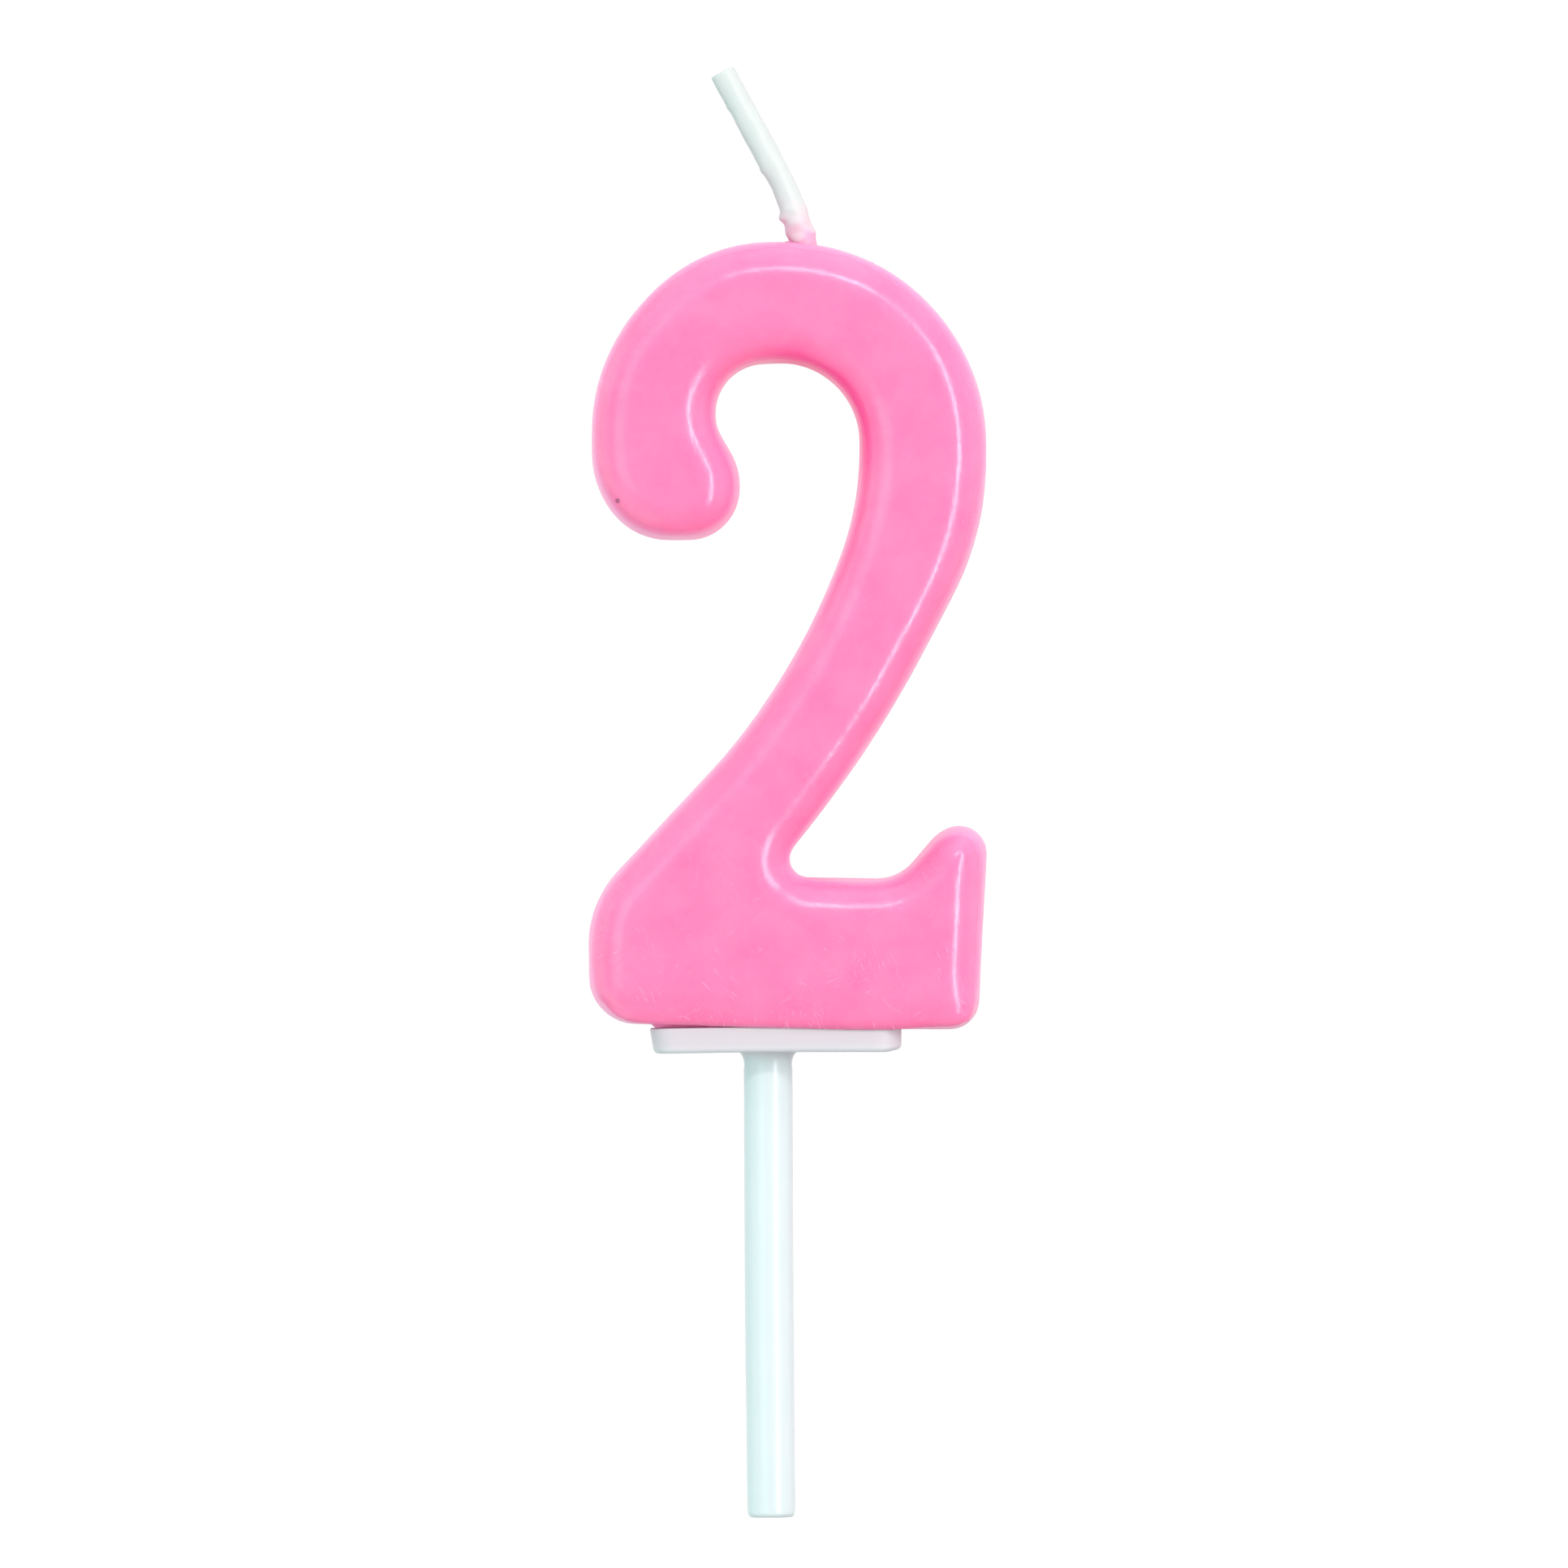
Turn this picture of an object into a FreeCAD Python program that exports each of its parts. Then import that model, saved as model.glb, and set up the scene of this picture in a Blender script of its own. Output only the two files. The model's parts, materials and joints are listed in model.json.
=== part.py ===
"""Number birthday candle: a moulded wax numeral on a plastic pick, with a primed cotton wick.

Sizes are in millimetres and degrees. The frame is +X to the right as the numeral is read,
+Y into its flat back and +Z up. The origin is on the stem's axis at the underside of the
plate, which is where the candle stops on the icing.
"""

import FreeCAD
import Part
import Sketcher
import math
import os

VEC = FreeCAD.Vector
X_AXIS = VEC(1, 0, 0)
Y_AXIS = VEC(0, 1, 0)
Z_AXIS = VEC(0, 0, 1)
TOUCH = 1e-4                     # distance at which two faces count as one plane

SIZES = {
    # numeral
    "numeral_height": 50.05,
    "numeral_width": 25.42,
    "numeral_depth": 8.5,
    "numeral_offset": 1.41,      # middle of the numeral from the stem's axis
    "seat_depth": 0.3,           # lowest wax below the top of the plate
    "wall_draft": 3.0,           # angle that lets the wax out of its mould
    "front_fillet": 1.0,
    "back_fillet": 0.3,
    # pick: stem and plate
    "stem_diameter": 3.0,
    "stem_length": 29.4,
    "stem_root_fillet": 0.5,
    "stem_tip_fillet": 0.35,
    "plate_length": 15.9,
    "plate_width": 6.6,
    "plate_thickness": 1.6,
    "plate_offset": 0.5,         # middle of the plate from the stem's axis
    "plate_corner": 1.5,
    "plate_edge": 0.35,
    # pick: the cross-shaped tang that stands in the wax
    "tang_height": 9.2,
    "tang_broad_root": 5.6,
    "tang_broad_tip": 3.2,
    "tang_narrow_root": 3.8,
    "tang_narrow_tip": 2.2,
    "tang_rib_root": 1.4,
    "tang_rib_tip": 0.8,
    "seat_clearance": 0.08,      # wax to pick, all round, since the numeral pulls off
    # wick
    "wick_diameter": 1.62,
    "cord_diameter": 1.1,
    "bend_across": -12.71,       # bend above the wax, from the numeral's right edge
    "bend_up": 2.8,              # and from its top
    "root_lean": 17.2,           # lean to the left below the bend
    "root_run": 6.07,            # straight run below the bend
    "tip_lean": 25.7,            # lean to the left above the bend
    "tip_length": 8.85,          # from the bend to the cut end
    "bend_gap": 0.1,             # keeps the two halves of the wick apart at the bend
}

# Places on the numeral that its outline and wick are set out from, as sums of the sizes.
LEFT = {"numeral_offset": 1, "numeral_width": -0.5}
CENTRE = {"numeral_offset": 1}
RIGHT = {"numeral_offset": 1, "numeral_width": 0.5}
BASE = {"plate_thickness": 1, "seat_depth": -1}
MIDDLE = {**BASE, "numeral_height": 0.5}
TOP = {**BASE, "numeral_height": 1}

# Corners of the numeral's back before rounding, clockwise: the side and level each is set
# out from, its distance across and up from there, and the radius that rounds it.
NUMERAL_CORNERS = [
    ("crown_right", RIGHT, 0.0, TOP, 0.0, 13.5),
    ("bow_right", RIGHT, 0.0, TOP, -18.4, 20.5),
    ("back_diagonal", CENTRE, 5.95, MIDDLE, -6.35, 72.0),
    ("notch", CENTRE, -1.1, BASE, 9.8, 1.15),
    ("ramp_foot", RIGHT, -5.8, BASE, 9.55, 3.0),
    ("spur_shoulder", RIGHT, -3.35, BASE, 12.35, 2.7),
    ("spur_tip", RIGHT, 0.0, BASE, 14.15, 1.75),
    ("foot_right", RIGHT, -0.8, BASE, 0.0, 1.9),
    ("base_bend", RIGHT, -8.2, BASE, 0.0, 60.0),
    ("foot_left", LEFT, 0.0, BASE, 0.55, 3.0),
    ("heel", LEFT, 0.0, BASE, 8.2, 6.8),
    ("diagonal_low", CENTRE, -2.9, MIDDLE, -6.4, 42.0),
    ("diagonal_middle", CENTRE, 1.2, MIDDLE, -0.35, 42.0),
    ("bow_inner", RIGHT, -8.05, TOP, -16.9, 20.0),
    ("counter_right", RIGHT, -8.05, TOP, -7.65, 5.2),
    ("counter_left", LEFT, 8.2, TOP, -7.95, 3.6),
    ("neck", LEFT, 8.3, TOP, -11.8, 2.8),
    ("lobe_right", LEFT, 9.8, TOP, -14.4, 4.4),
    ("lobe_low", LEFT, 9.8, TOP, -18.95, 3.35),
    ("lobe_left", LEFT, 2.75, TOP, -18.95, 4.6),
    ("hook_left", LEFT, 0.4, TOP, -15.1, 6.7),
    ("shoulder_left", LEFT, 0.45, TOP, -7.4, 12.2),
    ("crown_left", LEFT, 7.15, TOP, -0.1, 11.3),
]
ROUNDED_SHARE = 0.97             # most of an edge that its two rounds may take together

# Wick inside the wax, from its lower end up: the side and level each point is set out
# from, and its distance across and up from there. It follows the middle of the stroke.
WICK_ROUTE = [
    ("wick_end", CENTRE, -1.2, MIDDLE, -9.7),
    ("wick_low", CENTRE, 1.9, MIDDLE, -5.1),
    ("wick_middle", CENTRE, 5.2, MIDDLE, 0.3),
    ("wick_rise", RIGHT, -4.8, TOP, -18.95),
    ("wick_bow", RIGHT, -4.5, TOP, -12.45),
    ("wick_crown", RIGHT, -7.5, TOP, -7.05),
]
ARC_SHARE = 0.45                 # of the shorter run, taken by the arc at a route point

NODES = [
    "numeral_body",
    "pick",
    "wick_cord_embedded",
    "wick_coating_embedded",
    "wick_cord_tip",
    "wick_coating_tip",
]


# ---- sizes and the sheet ----

def all_sizes():
    """Every named size: the single ones, and those of the corners and of the route."""
    sizes = dict(SIZES)
    for name, _, across, _, rise, radius in NUMERAL_CORNERS:
        sizes[name + "_across"] = across
        sizes[name + "_up"] = rise
        sizes[name + "_radius"] = radius
    for name, _, across, _, rise in WICK_ROUTE:
        sizes[name + "_across"] = across
        sizes[name + "_up"] = rise
    return sizes


def make_sheet(doc):
    """Spreadsheet with one named cell for each size."""
    sheet = doc.addObject("Spreadsheet::Sheet", "Sizes")
    for row, (name, number) in enumerate(all_sizes().items(), start=1):
        sheet.set(f"A{row}", name)
        sheet.set(f"B{row}", str(number))
        sheet.setAlias(f"B{row}", name)
    doc.recompute()


def size(doc, name):
    """Number in a named cell of the sheet."""
    return float(getattr(doc.Sizes, name))


def value(doc, terms):
    """Number that a sum of sizes comes to."""
    return sum(share * size(doc, name) for name, share in terms.items())


def formula(terms):
    """The same sum as an expression on the sheet."""
    return " + ".join(f"{share} * Sizes.{name}" for name, share in terms.items())


def placed(side, level, name):
    """Sums that give a named point's place across and up."""
    return {**side, name + "_across": 1}, {**level, name + "_up": 1}


# ---- sketches ----

def new_sketch(body, name, role, height=None):
    """Sketch on an origin plane of a body, moved along its normal by a sum of sizes."""
    planes = [plane for plane in body.Origin.OriginFeatures if plane.Role == role]
    sketch = body.newObject("Sketcher::SketchObject", name)
    sketch.AttachmentSupport = [(planes[0], "")]
    sketch.MapMode = "FlatFace"
    if height:
        sketch.setExpression("AttachmentOffset.Base.z", formula(height))
    return sketch


def bind(sketch, constraint, expression):
    """Add a dimension to a sketch and tie it to the sheet."""
    index = sketch.addConstraint(constraint)
    sketch.setExpression(f"Constraints[{index}]", expression)


def circle_sketch(body, name, role, diameter):
    """Sketch of one circle about the origin."""
    doc = body.Document
    sketch = new_sketch(body, name, role)
    radius = size(doc, diameter) / 2
    sketch.addGeometry(Part.Circle(VEC(), Z_AXIS, radius), False)
    sketch.addConstraint(Sketcher.Constraint("Coincident", 0, 3, -1, 1))
    bind(sketch, Sketcher.Constraint("Diameter", 0, 2 * radius), "Sizes." + diameter)
    return sketch


def fitting_shares(points, radii):
    """Share of each wanted radius that its two edges leave room for."""
    count = len(points)
    reach = []
    for k in range(count):
        before = points[k] - points[k - 1]
        after = points[(k + 1) % count] - points[k]
        reach.append(radii[k] * math.tan(before.getAngle(after) / 2))
    shares = [1.0] * count
    for k in range(count):
        following = (k + 1) % count
        room = (points[following] - points[k]).Length * ROUNDED_SHARE
        share = min(1.0, room / (reach[k] + reach[following]))
        shares[k] = min(shares[k], share)
        shares[following] = min(shares[following], share)
    return shares


def corner_round(before, corner, after, radius):
    """Arc that rounds a corner, its two ends in order, and whether it turns left."""
    inward = (before - corner).normalize()
    outward = (after - corner).normalize()
    half = inward.getAngle(outward) / 2
    first = corner + inward * (radius / math.tan(half))
    last = corner + outward * (radius / math.tan(half))
    centre = corner + (inward + outward).normalize() * (radius / math.sin(half))
    left = (corner - before).cross(after - corner).z > 0
    circle = Part.Circle(centre, Z_AXIS, radius)
    start, end = (first, last) if left else (last, first)
    arc = Part.ArcOfCircle(circle, circle.parameter(start), circle.parameter(end))
    return arc, first, last, left


def rounded_outline(sketch, corners):
    """Closed outline of lines and tangent arcs.

    Each corner is a sum of sizes across, a sum of sizes up, and the name of its radius.
    """
    doc = sketch.Document
    count = len(corners)
    points = [VEC(value(doc, x), value(doc, y), 0) for x, y, _ in corners]
    radii = [size(doc, name) for _, _, name in corners]
    shares = fitting_shares(points, radii)
    rounds = []
    for k in range(count):
        following = points[(k + 1) % count]
        radius = radii[k] * shares[k]
        rounds.append(corner_round(points[k - 1], points[k], following, radius))
    for k, (arc, _, last, _) in enumerate(rounds):
        sketch.addGeometry(arc, False)
        sketch.addGeometry(Part.LineSegment(last, rounds[(k + 1) % count][1]), False)
    for point in points:
        sketch.addGeometry(Part.Point(point), True)
    sketch.addConstraint(outline_joins(rounds))
    for k, (x, y, name) in enumerate(corners):
        mark = 2 * count + k
        across = Sketcher.Constraint("DistanceX", -1, 1, mark, 1, points[k].x)
        bind(sketch, across, formula(x))
        rise = Sketcher.Constraint("DistanceY", -1, 1, mark, 1, points[k].y)
        bind(sketch, rise, formula(y))
        rounding = Sketcher.Constraint("Radius", 2 * k, radii[k] * shares[k])
        bind(sketch, rounding, f"Sizes.{name} * {shares[k]:.4f}")


def outline_joins(rounds):
    """Constraints that join arcs and lines in turn, with each line aimed at its corners."""
    count = len(rounds)
    joins = []
    for k in range(count):
        following = (k + 1) % count
        arc, line, next_arc = 2 * k, 2 * k + 1, 2 * following
        arc_end = 2 if rounds[k][3] else 1
        next_start = 1 if rounds[following][3] else 2
        joins.append(Sketcher.Constraint("Tangent", arc, arc_end, line, 1))
        joins.append(Sketcher.Constraint("Tangent", line, 2, next_arc, next_start))
        joins.append(Sketcher.Constraint("PointOnObject", 2 * count + k, 1, line))
        joins.append(Sketcher.Constraint("PointOnObject", 2 * count + following, 1, line))
    return joins


def plate_outline(sketch, clearance=0):
    """Rounded rectangle of the pick's plate, with a share of the seat clearance all round."""
    corners = []
    for across, up in ((1, 1), (1, -1), (-1, -1), (-1, 1)):
        x = {"plate_offset": 1, "plate_length": across / 2, "seat_clearance": across * clearance}
        y = {"plate_width": up / 2, "seat_clearance": up * clearance}
        corners.append((x, y, "plate_corner"))
    rounded_outline(sketch, corners)


# ---- features ----

def pad(body, sketch, name, length, down=False):
    """Pad of a sketch to a named length."""
    feature = body.newObject("PartDesign::Pad", name)
    feature.Profile = sketch
    feature.setExpression("Length", "Sizes." + length)
    feature.Reversed = down
    body.Document.recompute()
    return feature


def edges_at(feature, axis, place):
    """Names of the edges that lie in the plane at a place along an axis."""
    names = []
    for k, edge in enumerate(feature.Shape.Edges, start=1):
        low = getattr(edge.BoundBox, axis + "Min")
        high = getattr(edge.BoundBox, axis + "Max")
        if abs(low - place) < TOUCH and abs(high - place) < TOUCH:
            names.append(f"Edge{k}")
    return names


def fillet(body, base, name, edges, radius):
    """Fillet of named edges to a named radius."""
    feature = body.newObject("PartDesign::Fillet", name)
    feature.Base = (base, edges)
    feature.setExpression("Radius", "Sizes." + radius)
    body.Document.recompute()
    return feature


def set_placement(obj, base, rotation=None):
    """Placement of an object, written so that each sub-part has its own."""
    obj.Placement = FreeCAD.Placement(base, rotation or FreeCAD.Rotation())


# ---- numeral ----

def drafted_solid(doc, outline):
    """Solid between the back's outline and the smaller front that the draft gives it."""
    depth = size(doc, "numeral_depth")
    back = Part.Wire(Part.__sortEdges__(outline.Shape.Edges))
    front = back.makeOffset2D(-depth * math.tan(math.radians(size(doc, "wall_draft"))))
    front.translate(VEC(0, -depth, 0))
    return Part.makeLoft([back, front], True, True)


def make_numeral_blank(doc):
    """The moulded wax before anything stands in it: drafted walls and rounded edges."""
    body = doc.addObject("PartDesign::Body", "numeral_blank")
    outline = new_sketch(body, "numeral_outline", "XZ_Plane", {"numeral_depth": -0.5})
    corners = []
    for name, side, _, level, _, _ in NUMERAL_CORNERS:
        corners.append((*placed(side, level, name), name + "_radius"))
    rounded_outline(outline, corners)
    doc.recompute()
    stroke = doc.addObject("Part::Feature", "stroke")
    stroke.Shape = drafted_solid(doc, outline)
    body.BaseFeature = stroke
    doc.recompute()
    front = -size(doc, "numeral_depth") / 2
    walls = body.Tip
    shoulder = fillet(body, walls, "shoulder", edges_at(walls, "Y", front), "front_fillet")
    fillet(body, shoulder, "rim", edges_at(shoulder, "Y", -front), "back_fillet")
    return body


def make_plate_recess(doc):
    """Shallow seat that the plate makes in the underside of the wax."""
    body = doc.addObject("PartDesign::Body", "plate_recess")
    outline = new_sketch(body, "recess_outline", "XY_Plane")
    plate_outline(outline, clearance=1)
    pad(body, outline, "recess", "plate_thickness")
    return body


def make_numeral(doc, wick_hole):
    """Numeral with the wick's hole, the tang's socket and the plate's seat cut in it."""
    blank = make_numeral_blank(doc)
    cavities = doc.addObject("Part::MultiFuse", "cavities")
    broad = tang_blade(doc, "socket_broad", "tang_broad", "tang_rib", 1)
    narrow = tang_blade(doc, "socket_narrow", "tang_rib", "tang_narrow", 1)
    cavities.Shapes = [make_plate_recess(doc), broad, narrow, wick_hole]
    numeral = doc.addObject("Part::Cut", "numeral_body")
    numeral.Base = blank
    numeral.Tool = cavities
    set_placement(numeral, VEC())
    return numeral


# ---- pick ----

def tang_blade(doc, name, across, through, clearance):
    """One tapered blade of the tang's cross, or of its socket with the seat clearance.

    The wedge's own Y runs up the tang, so it is turned about X to stand upright.
    """
    blade = doc.addObject("Part::Wedge", name)
    spare = f"{clearance} * Sizes.seat_clearance"
    for low, high, part in (("Xmin", "Xmax", across), ("Zmin", "Zmax", through)):
        half = f"(Sizes.{part}_root / 2 + {spare})"
        blade.setExpression(low, "-" + half)
        blade.setExpression(high, half)
    for low, high, part in (("X2min", "X2max", across), ("Z2min", "Z2max", through)):
        half = f"(Sizes.{part}_tip / 2 + {spare})"
        blade.setExpression(low, "-" + half)
        blade.setExpression(high, half)
    blade.setExpression("Ymin", "Sizes.plate_thickness")
    blade.setExpression("Ymax", f"Sizes.plate_thickness + Sizes.tang_height + {spare}")
    set_placement(blade, VEC(), FreeCAD.Rotation(X_AXIS, 90))
    return blade


def make_pick(doc):
    """Plate, stem and tang in one moulding."""
    body = doc.addObject("PartDesign::Body", "pick_moulding")
    outline = new_sketch(body, "plate_outline", "XY_Plane")
    plate_outline(outline)
    plate = pad(body, outline, "plate", "plate_thickness")
    top = size(doc, "plate_thickness")
    rims = edges_at(plate, "Z", 0) + edges_at(plate, "Z", top)
    rounded = fillet(body, plate, "plate_rims", rims, "plate_edge")
    section = circle_sketch(body, "stem_section", "XY_Plane", "stem_diameter")
    stem = pad(body, section, "stem", "stem_length", down=True)
    if stem.Shape.Volume <= rounded.Shape.Volume:
        raise RuntimeError("the stem points into the plate")
    radius = size(doc, "stem_diameter") / 2
    roots = [name for name in edges_at(stem, "Z", 0)
             if abs(stem.Shape.getElement(name).BoundBox.XMax - radius) < TOUCH]
    rooted = fillet(body, stem, "stem_root", roots, "stem_root_fillet")
    tips = edges_at(rooted, "Z", -size(doc, "stem_length"))
    fillet(body, rooted, "stem_tip", tips, "stem_tip_fillet")
    pick = doc.addObject("Part::MultiFuse", "pick")
    broad = tang_blade(doc, "tang_broad_blade", "tang_broad", "tang_rib", 0)
    narrow = tang_blade(doc, "tang_narrow_blade", "tang_rib", "tang_narrow", 0)
    pick.Shapes = [body, broad, narrow]
    set_placement(pick, VEC())
    return pick


# ---- wick ----

def lean_vector(degrees_left):
    """Unit vector in the numeral's plane, leaning to the left of upright."""
    lean = math.radians(degrees_left)
    return VEC(-math.sin(lean), 0, math.cos(lean))


def bend_point(doc):
    """Place of the wick's bend above the wax."""
    across = value(doc, {**RIGHT, "bend_across": 1})
    return VEC(across, 0, value(doc, {**TOP, "bend_up": 1}))


def wick_points(doc):
    """Route of the wick up to the cut just below its bend."""
    points = []
    for name, side, _, level, _ in WICK_ROUTE:
        across, rise = placed(side, level, name)
        points.append(VEC(value(doc, across), 0, value(doc, rise)))
    bend = bend_point(doc)
    upward = lean_vector(size(doc, "root_lean"))
    points.append(bend - upward * size(doc, "root_run"))
    points.append(bend - upward * (size(doc, "wick_diameter") / 2 + size(doc, "bend_gap")))
    return points


def route_wire(points):
    """Straight runs joined by tangent arcs, as large as the runs allow."""
    edges = []
    start = points[0]
    for before, corner, after in zip(points, points[1:], points[2:]):
        inward, outward = (before - corner), (after - corner)
        reach = ARC_SHARE * min(inward.Length, outward.Length)
        half = inward.getAngle(outward) / 2
        radius = reach * math.tan(half)
        print(f"wick arc at {corner.x:.1f}, {corner.z:.1f}: radius {radius:.1f} mm")
        first = corner + inward.normalize() * reach
        last = corner + outward.normalize() * reach
        centre_way = (inward + outward).normalize()
        middle = corner + centre_way * (radius / math.sin(half) - radius)
        edges.append(Part.LineSegment(start, first).toShape())
        edges.append(Part.Arc(first, middle, last).toShape())
        start = last
    edges.append(Part.LineSegment(start, points[-1]).toShape())
    return Part.Wire(edges)


def wick_tube(doc, name, diameter):
    """Round solid along the wick's route."""
    points = wick_points(doc)
    radius = size(doc, diameter) / 2
    path = route_wire(points)
    ring = Part.Wire(Part.Circle(points[0], points[1] - points[0], radius).toShape())
    solid = path.makePipeShell([ring], True, True)
    share = solid.Volume / (math.pi * radius ** 2 * path.Length)
    print(f"{name}: {path.Length:.1f} mm long, volume {share:.4f} of section by length")
    tube = doc.addObject("Part::Feature", name)
    tube.Shape = solid
    set_placement(tube, VEC())
    return tube


def rod(doc, name, diameter, below):
    """Cylinder from the wick's cut end to its bend, and some wick diameters below it."""
    cylinder = doc.addObject("Part::Cylinder", name)
    cylinder.setExpression("Radius", f"Sizes.{diameter} / 2")
    cylinder.setExpression("Height", f"Sizes.tip_length + {below} * Sizes.wick_diameter")
    cylinder.setExpression("Placement.Base.z", f"-{below} * Sizes.wick_diameter")
    return cylinder


def make_wick_tip(doc):
    """The wick above its bend: a rod with a ball end about the bend, split core from coat."""
    ball = doc.addObject("Part::Sphere", "bend_ball")
    ball.setExpression("Radius", "Sizes.wick_diameter / 2")
    outer = doc.addObject("Part::MultiFuse", "tip_outer")
    outer.Shapes = [rod(doc, "tip_rod", "wick_diameter", 0), ball]
    core = rod(doc, "tip_core", "cord_diameter", 1)
    cord = doc.addObject("Part::MultiCommon", "wick_cord_tip")
    cord.Shapes = [outer, core]
    coating = doc.addObject("Part::Cut", "wick_coating_tip")
    coating.Base = outer
    coating.Tool = core
    turn = FreeCAD.Rotation(Y_AXIS, -size(doc, "tip_lean"))
    for part in (cord, coating):
        set_placement(part, bend_point(doc), turn)


def make_embedded_wick(doc):
    """The wick from its lower end to its bend: cord, coating, and the hole it fills."""
    outer = wick_tube(doc, "wick_outer", "wick_diameter")
    cord = wick_tube(doc, "wick_cord_embedded", "cord_diameter")
    coating = doc.addObject("Part::Cut", "wick_coating_embedded")
    coating.Base = outer
    coating.Tool = cord
    set_placement(coating, VEC())
    return outer


# ---- checks and files ----

def check(doc):
    """Stop if any object failed or any sub-part's shape is empty or not valid."""
    for obj in doc.Objects:
        if "Invalid" in obj.State or "Error" in obj.State:
            raise RuntimeError(f"{obj.Label} failed: {obj.getStatusString()}")
    for node in NODES:
        shape = doc.getObject(node).Shape
        if shape.isNull() or not shape.isValid() or not shape.Solids:
            raise RuntimeError(f"{node} has no valid solid")


def export(doc):
    """Write each sub-part to its own file."""
    os.makedirs("parts", exist_ok=True)
    for node in NODES:
        part = doc.getObject(node)
        part.Label = node
        part.Shape.exportStep(f"parts/{node}.step")
        box = part.Shape.BoundBox
        print(f"{node}: {len(part.Shape.Solids)} solid, {part.Shape.Volume:.1f} mm3, "
              f"{box.XLength:.2f} x {box.YLength:.2f} x {box.ZLength:.2f} mm")


def main():
    """Build the document, check it and write the parts."""
    doc = FreeCAD.newDocument("number_candle")
    make_sheet(doc)
    wick_outer = make_embedded_wick(doc)
    make_wick_tip(doc)
    make_pick(doc)
    make_numeral(doc, wick_outer)
    doc.recompute()
    check(doc)
    export(doc)


main()
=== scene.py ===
"""Looks for the number birthday candle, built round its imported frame.

A moulded paraffin numeral stands on a polypropylene pick and holds a primed cotton wick.
The frame is in metres: +X to the right as the numeral is read, +Y into its flat back and
+Z up, with the origin under the plate on the axis of the stem. Meshes are worked out in
millimetres and turned into metres as they are made.
"""

import json
import logging
import math
from dataclasses import dataclass, field
from enum import Enum

import bpy
import numpy as np
from bpy.types import Material, Mesh, Node, NodeSocket, NodeTree, Object
from mathutils import Matrix, Vector, kdtree, noise

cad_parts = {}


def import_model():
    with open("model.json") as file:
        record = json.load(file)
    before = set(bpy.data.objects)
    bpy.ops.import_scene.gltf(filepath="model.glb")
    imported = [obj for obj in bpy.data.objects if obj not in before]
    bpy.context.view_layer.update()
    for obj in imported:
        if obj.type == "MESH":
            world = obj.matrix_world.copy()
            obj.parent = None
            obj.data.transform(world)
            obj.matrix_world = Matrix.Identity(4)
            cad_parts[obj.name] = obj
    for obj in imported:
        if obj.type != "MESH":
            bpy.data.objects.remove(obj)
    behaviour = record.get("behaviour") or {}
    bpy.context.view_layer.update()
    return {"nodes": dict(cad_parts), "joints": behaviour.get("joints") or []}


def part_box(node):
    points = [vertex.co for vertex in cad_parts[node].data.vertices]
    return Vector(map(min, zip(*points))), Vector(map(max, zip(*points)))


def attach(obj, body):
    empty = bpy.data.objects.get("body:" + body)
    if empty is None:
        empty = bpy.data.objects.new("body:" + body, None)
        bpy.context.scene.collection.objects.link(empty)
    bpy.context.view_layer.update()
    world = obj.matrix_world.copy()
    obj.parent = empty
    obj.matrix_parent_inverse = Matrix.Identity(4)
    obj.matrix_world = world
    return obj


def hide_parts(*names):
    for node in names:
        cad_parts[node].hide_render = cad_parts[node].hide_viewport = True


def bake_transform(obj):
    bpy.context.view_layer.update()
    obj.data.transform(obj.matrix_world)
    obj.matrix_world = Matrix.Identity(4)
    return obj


LOG = logging.getLogger("candle")
MM = 0.001
Points = np.ndarray
Pair = tuple[float, float]


class Body(Enum):
    """The bodies of the frame, by what moves with each."""

    PICK = "pick"
    NUMERAL = "numeral"
    WICK = "wick"


class Slot(Enum):
    """The record's material slots."""

    NUMERAL = "numeral_wax"
    PICK = "pick_polypropylene"
    COTTON = "wick_cotton"
    PRIMING = "wick_priming_wax"


# ---- colours and nodes ----

def linear(colour: str) -> tuple[float, float, float, float]:
    """Turns an sRGB hex colour into the linear colour that a shader takes.

    Args:
        colour: Six hex digits after a #.

    Returns:
        Red, green, blue and an alpha of 1.
    """
    parts = [int(colour[i:i + 2], 16) / 255 for i in (1, 3, 5)]
    light = [c / 12.92 if c <= 0.04045 else ((c + 0.055) / 1.055) ** 2.4 for c in parts]
    return (light[0], light[1], light[2], 1.0)


def add_node(tree: NodeTree, kind: str, inputs: dict | None = None,
             **settings: object) -> Node:
    """Adds one node, sets it up and links it.

    Args:
        tree: The node tree that takes the node.
        kind: Blender's name for the node's type, without ShaderNode.
        inputs: What each input takes, by its name or number: a value, an output socket,
            or a node, for its first output.
        **settings: The node's own properties.

    Returns:
        The new node.
    """
    node = tree.nodes.new("ShaderNode" + kind)
    for name, setting in settings.items():
        setattr(node, name, setting)
    for key, given in (inputs or {}).items():
        if isinstance(given, Node):
            given = given.outputs[0]
        if isinstance(given, NodeSocket):
            tree.links.new(given, node.inputs[key])
        else:
            node.inputs[key].default_value = given
    return node


def set_stops(node: Node, stops: list[tuple[float, object]]) -> None:
    """Gives a colour ramp its stops.

    Args:
        node: A colour ramp node.
        stops: Position and value of each stop: a grey level or a linear colour.
    """
    elements = node.color_ramp.elements
    while len(elements) < len(stops):
        elements.new(0.5)
    for element, (position, value) in zip(elements, stops):
        element.position = position
        element.color = value if isinstance(value, tuple) else (value, value, value, 1.0)


def new_material(name: str) -> tuple[Material, NodeTree]:
    """Makes a material with no nodes yet.

    Args:
        name: The finish's name.

    Returns:
        The material and its node tree.
    """
    material = bpy.data.materials.new(name)
    material.use_nodes = True
    material.node_tree.nodes.clear()
    return material, material.node_tree


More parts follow.
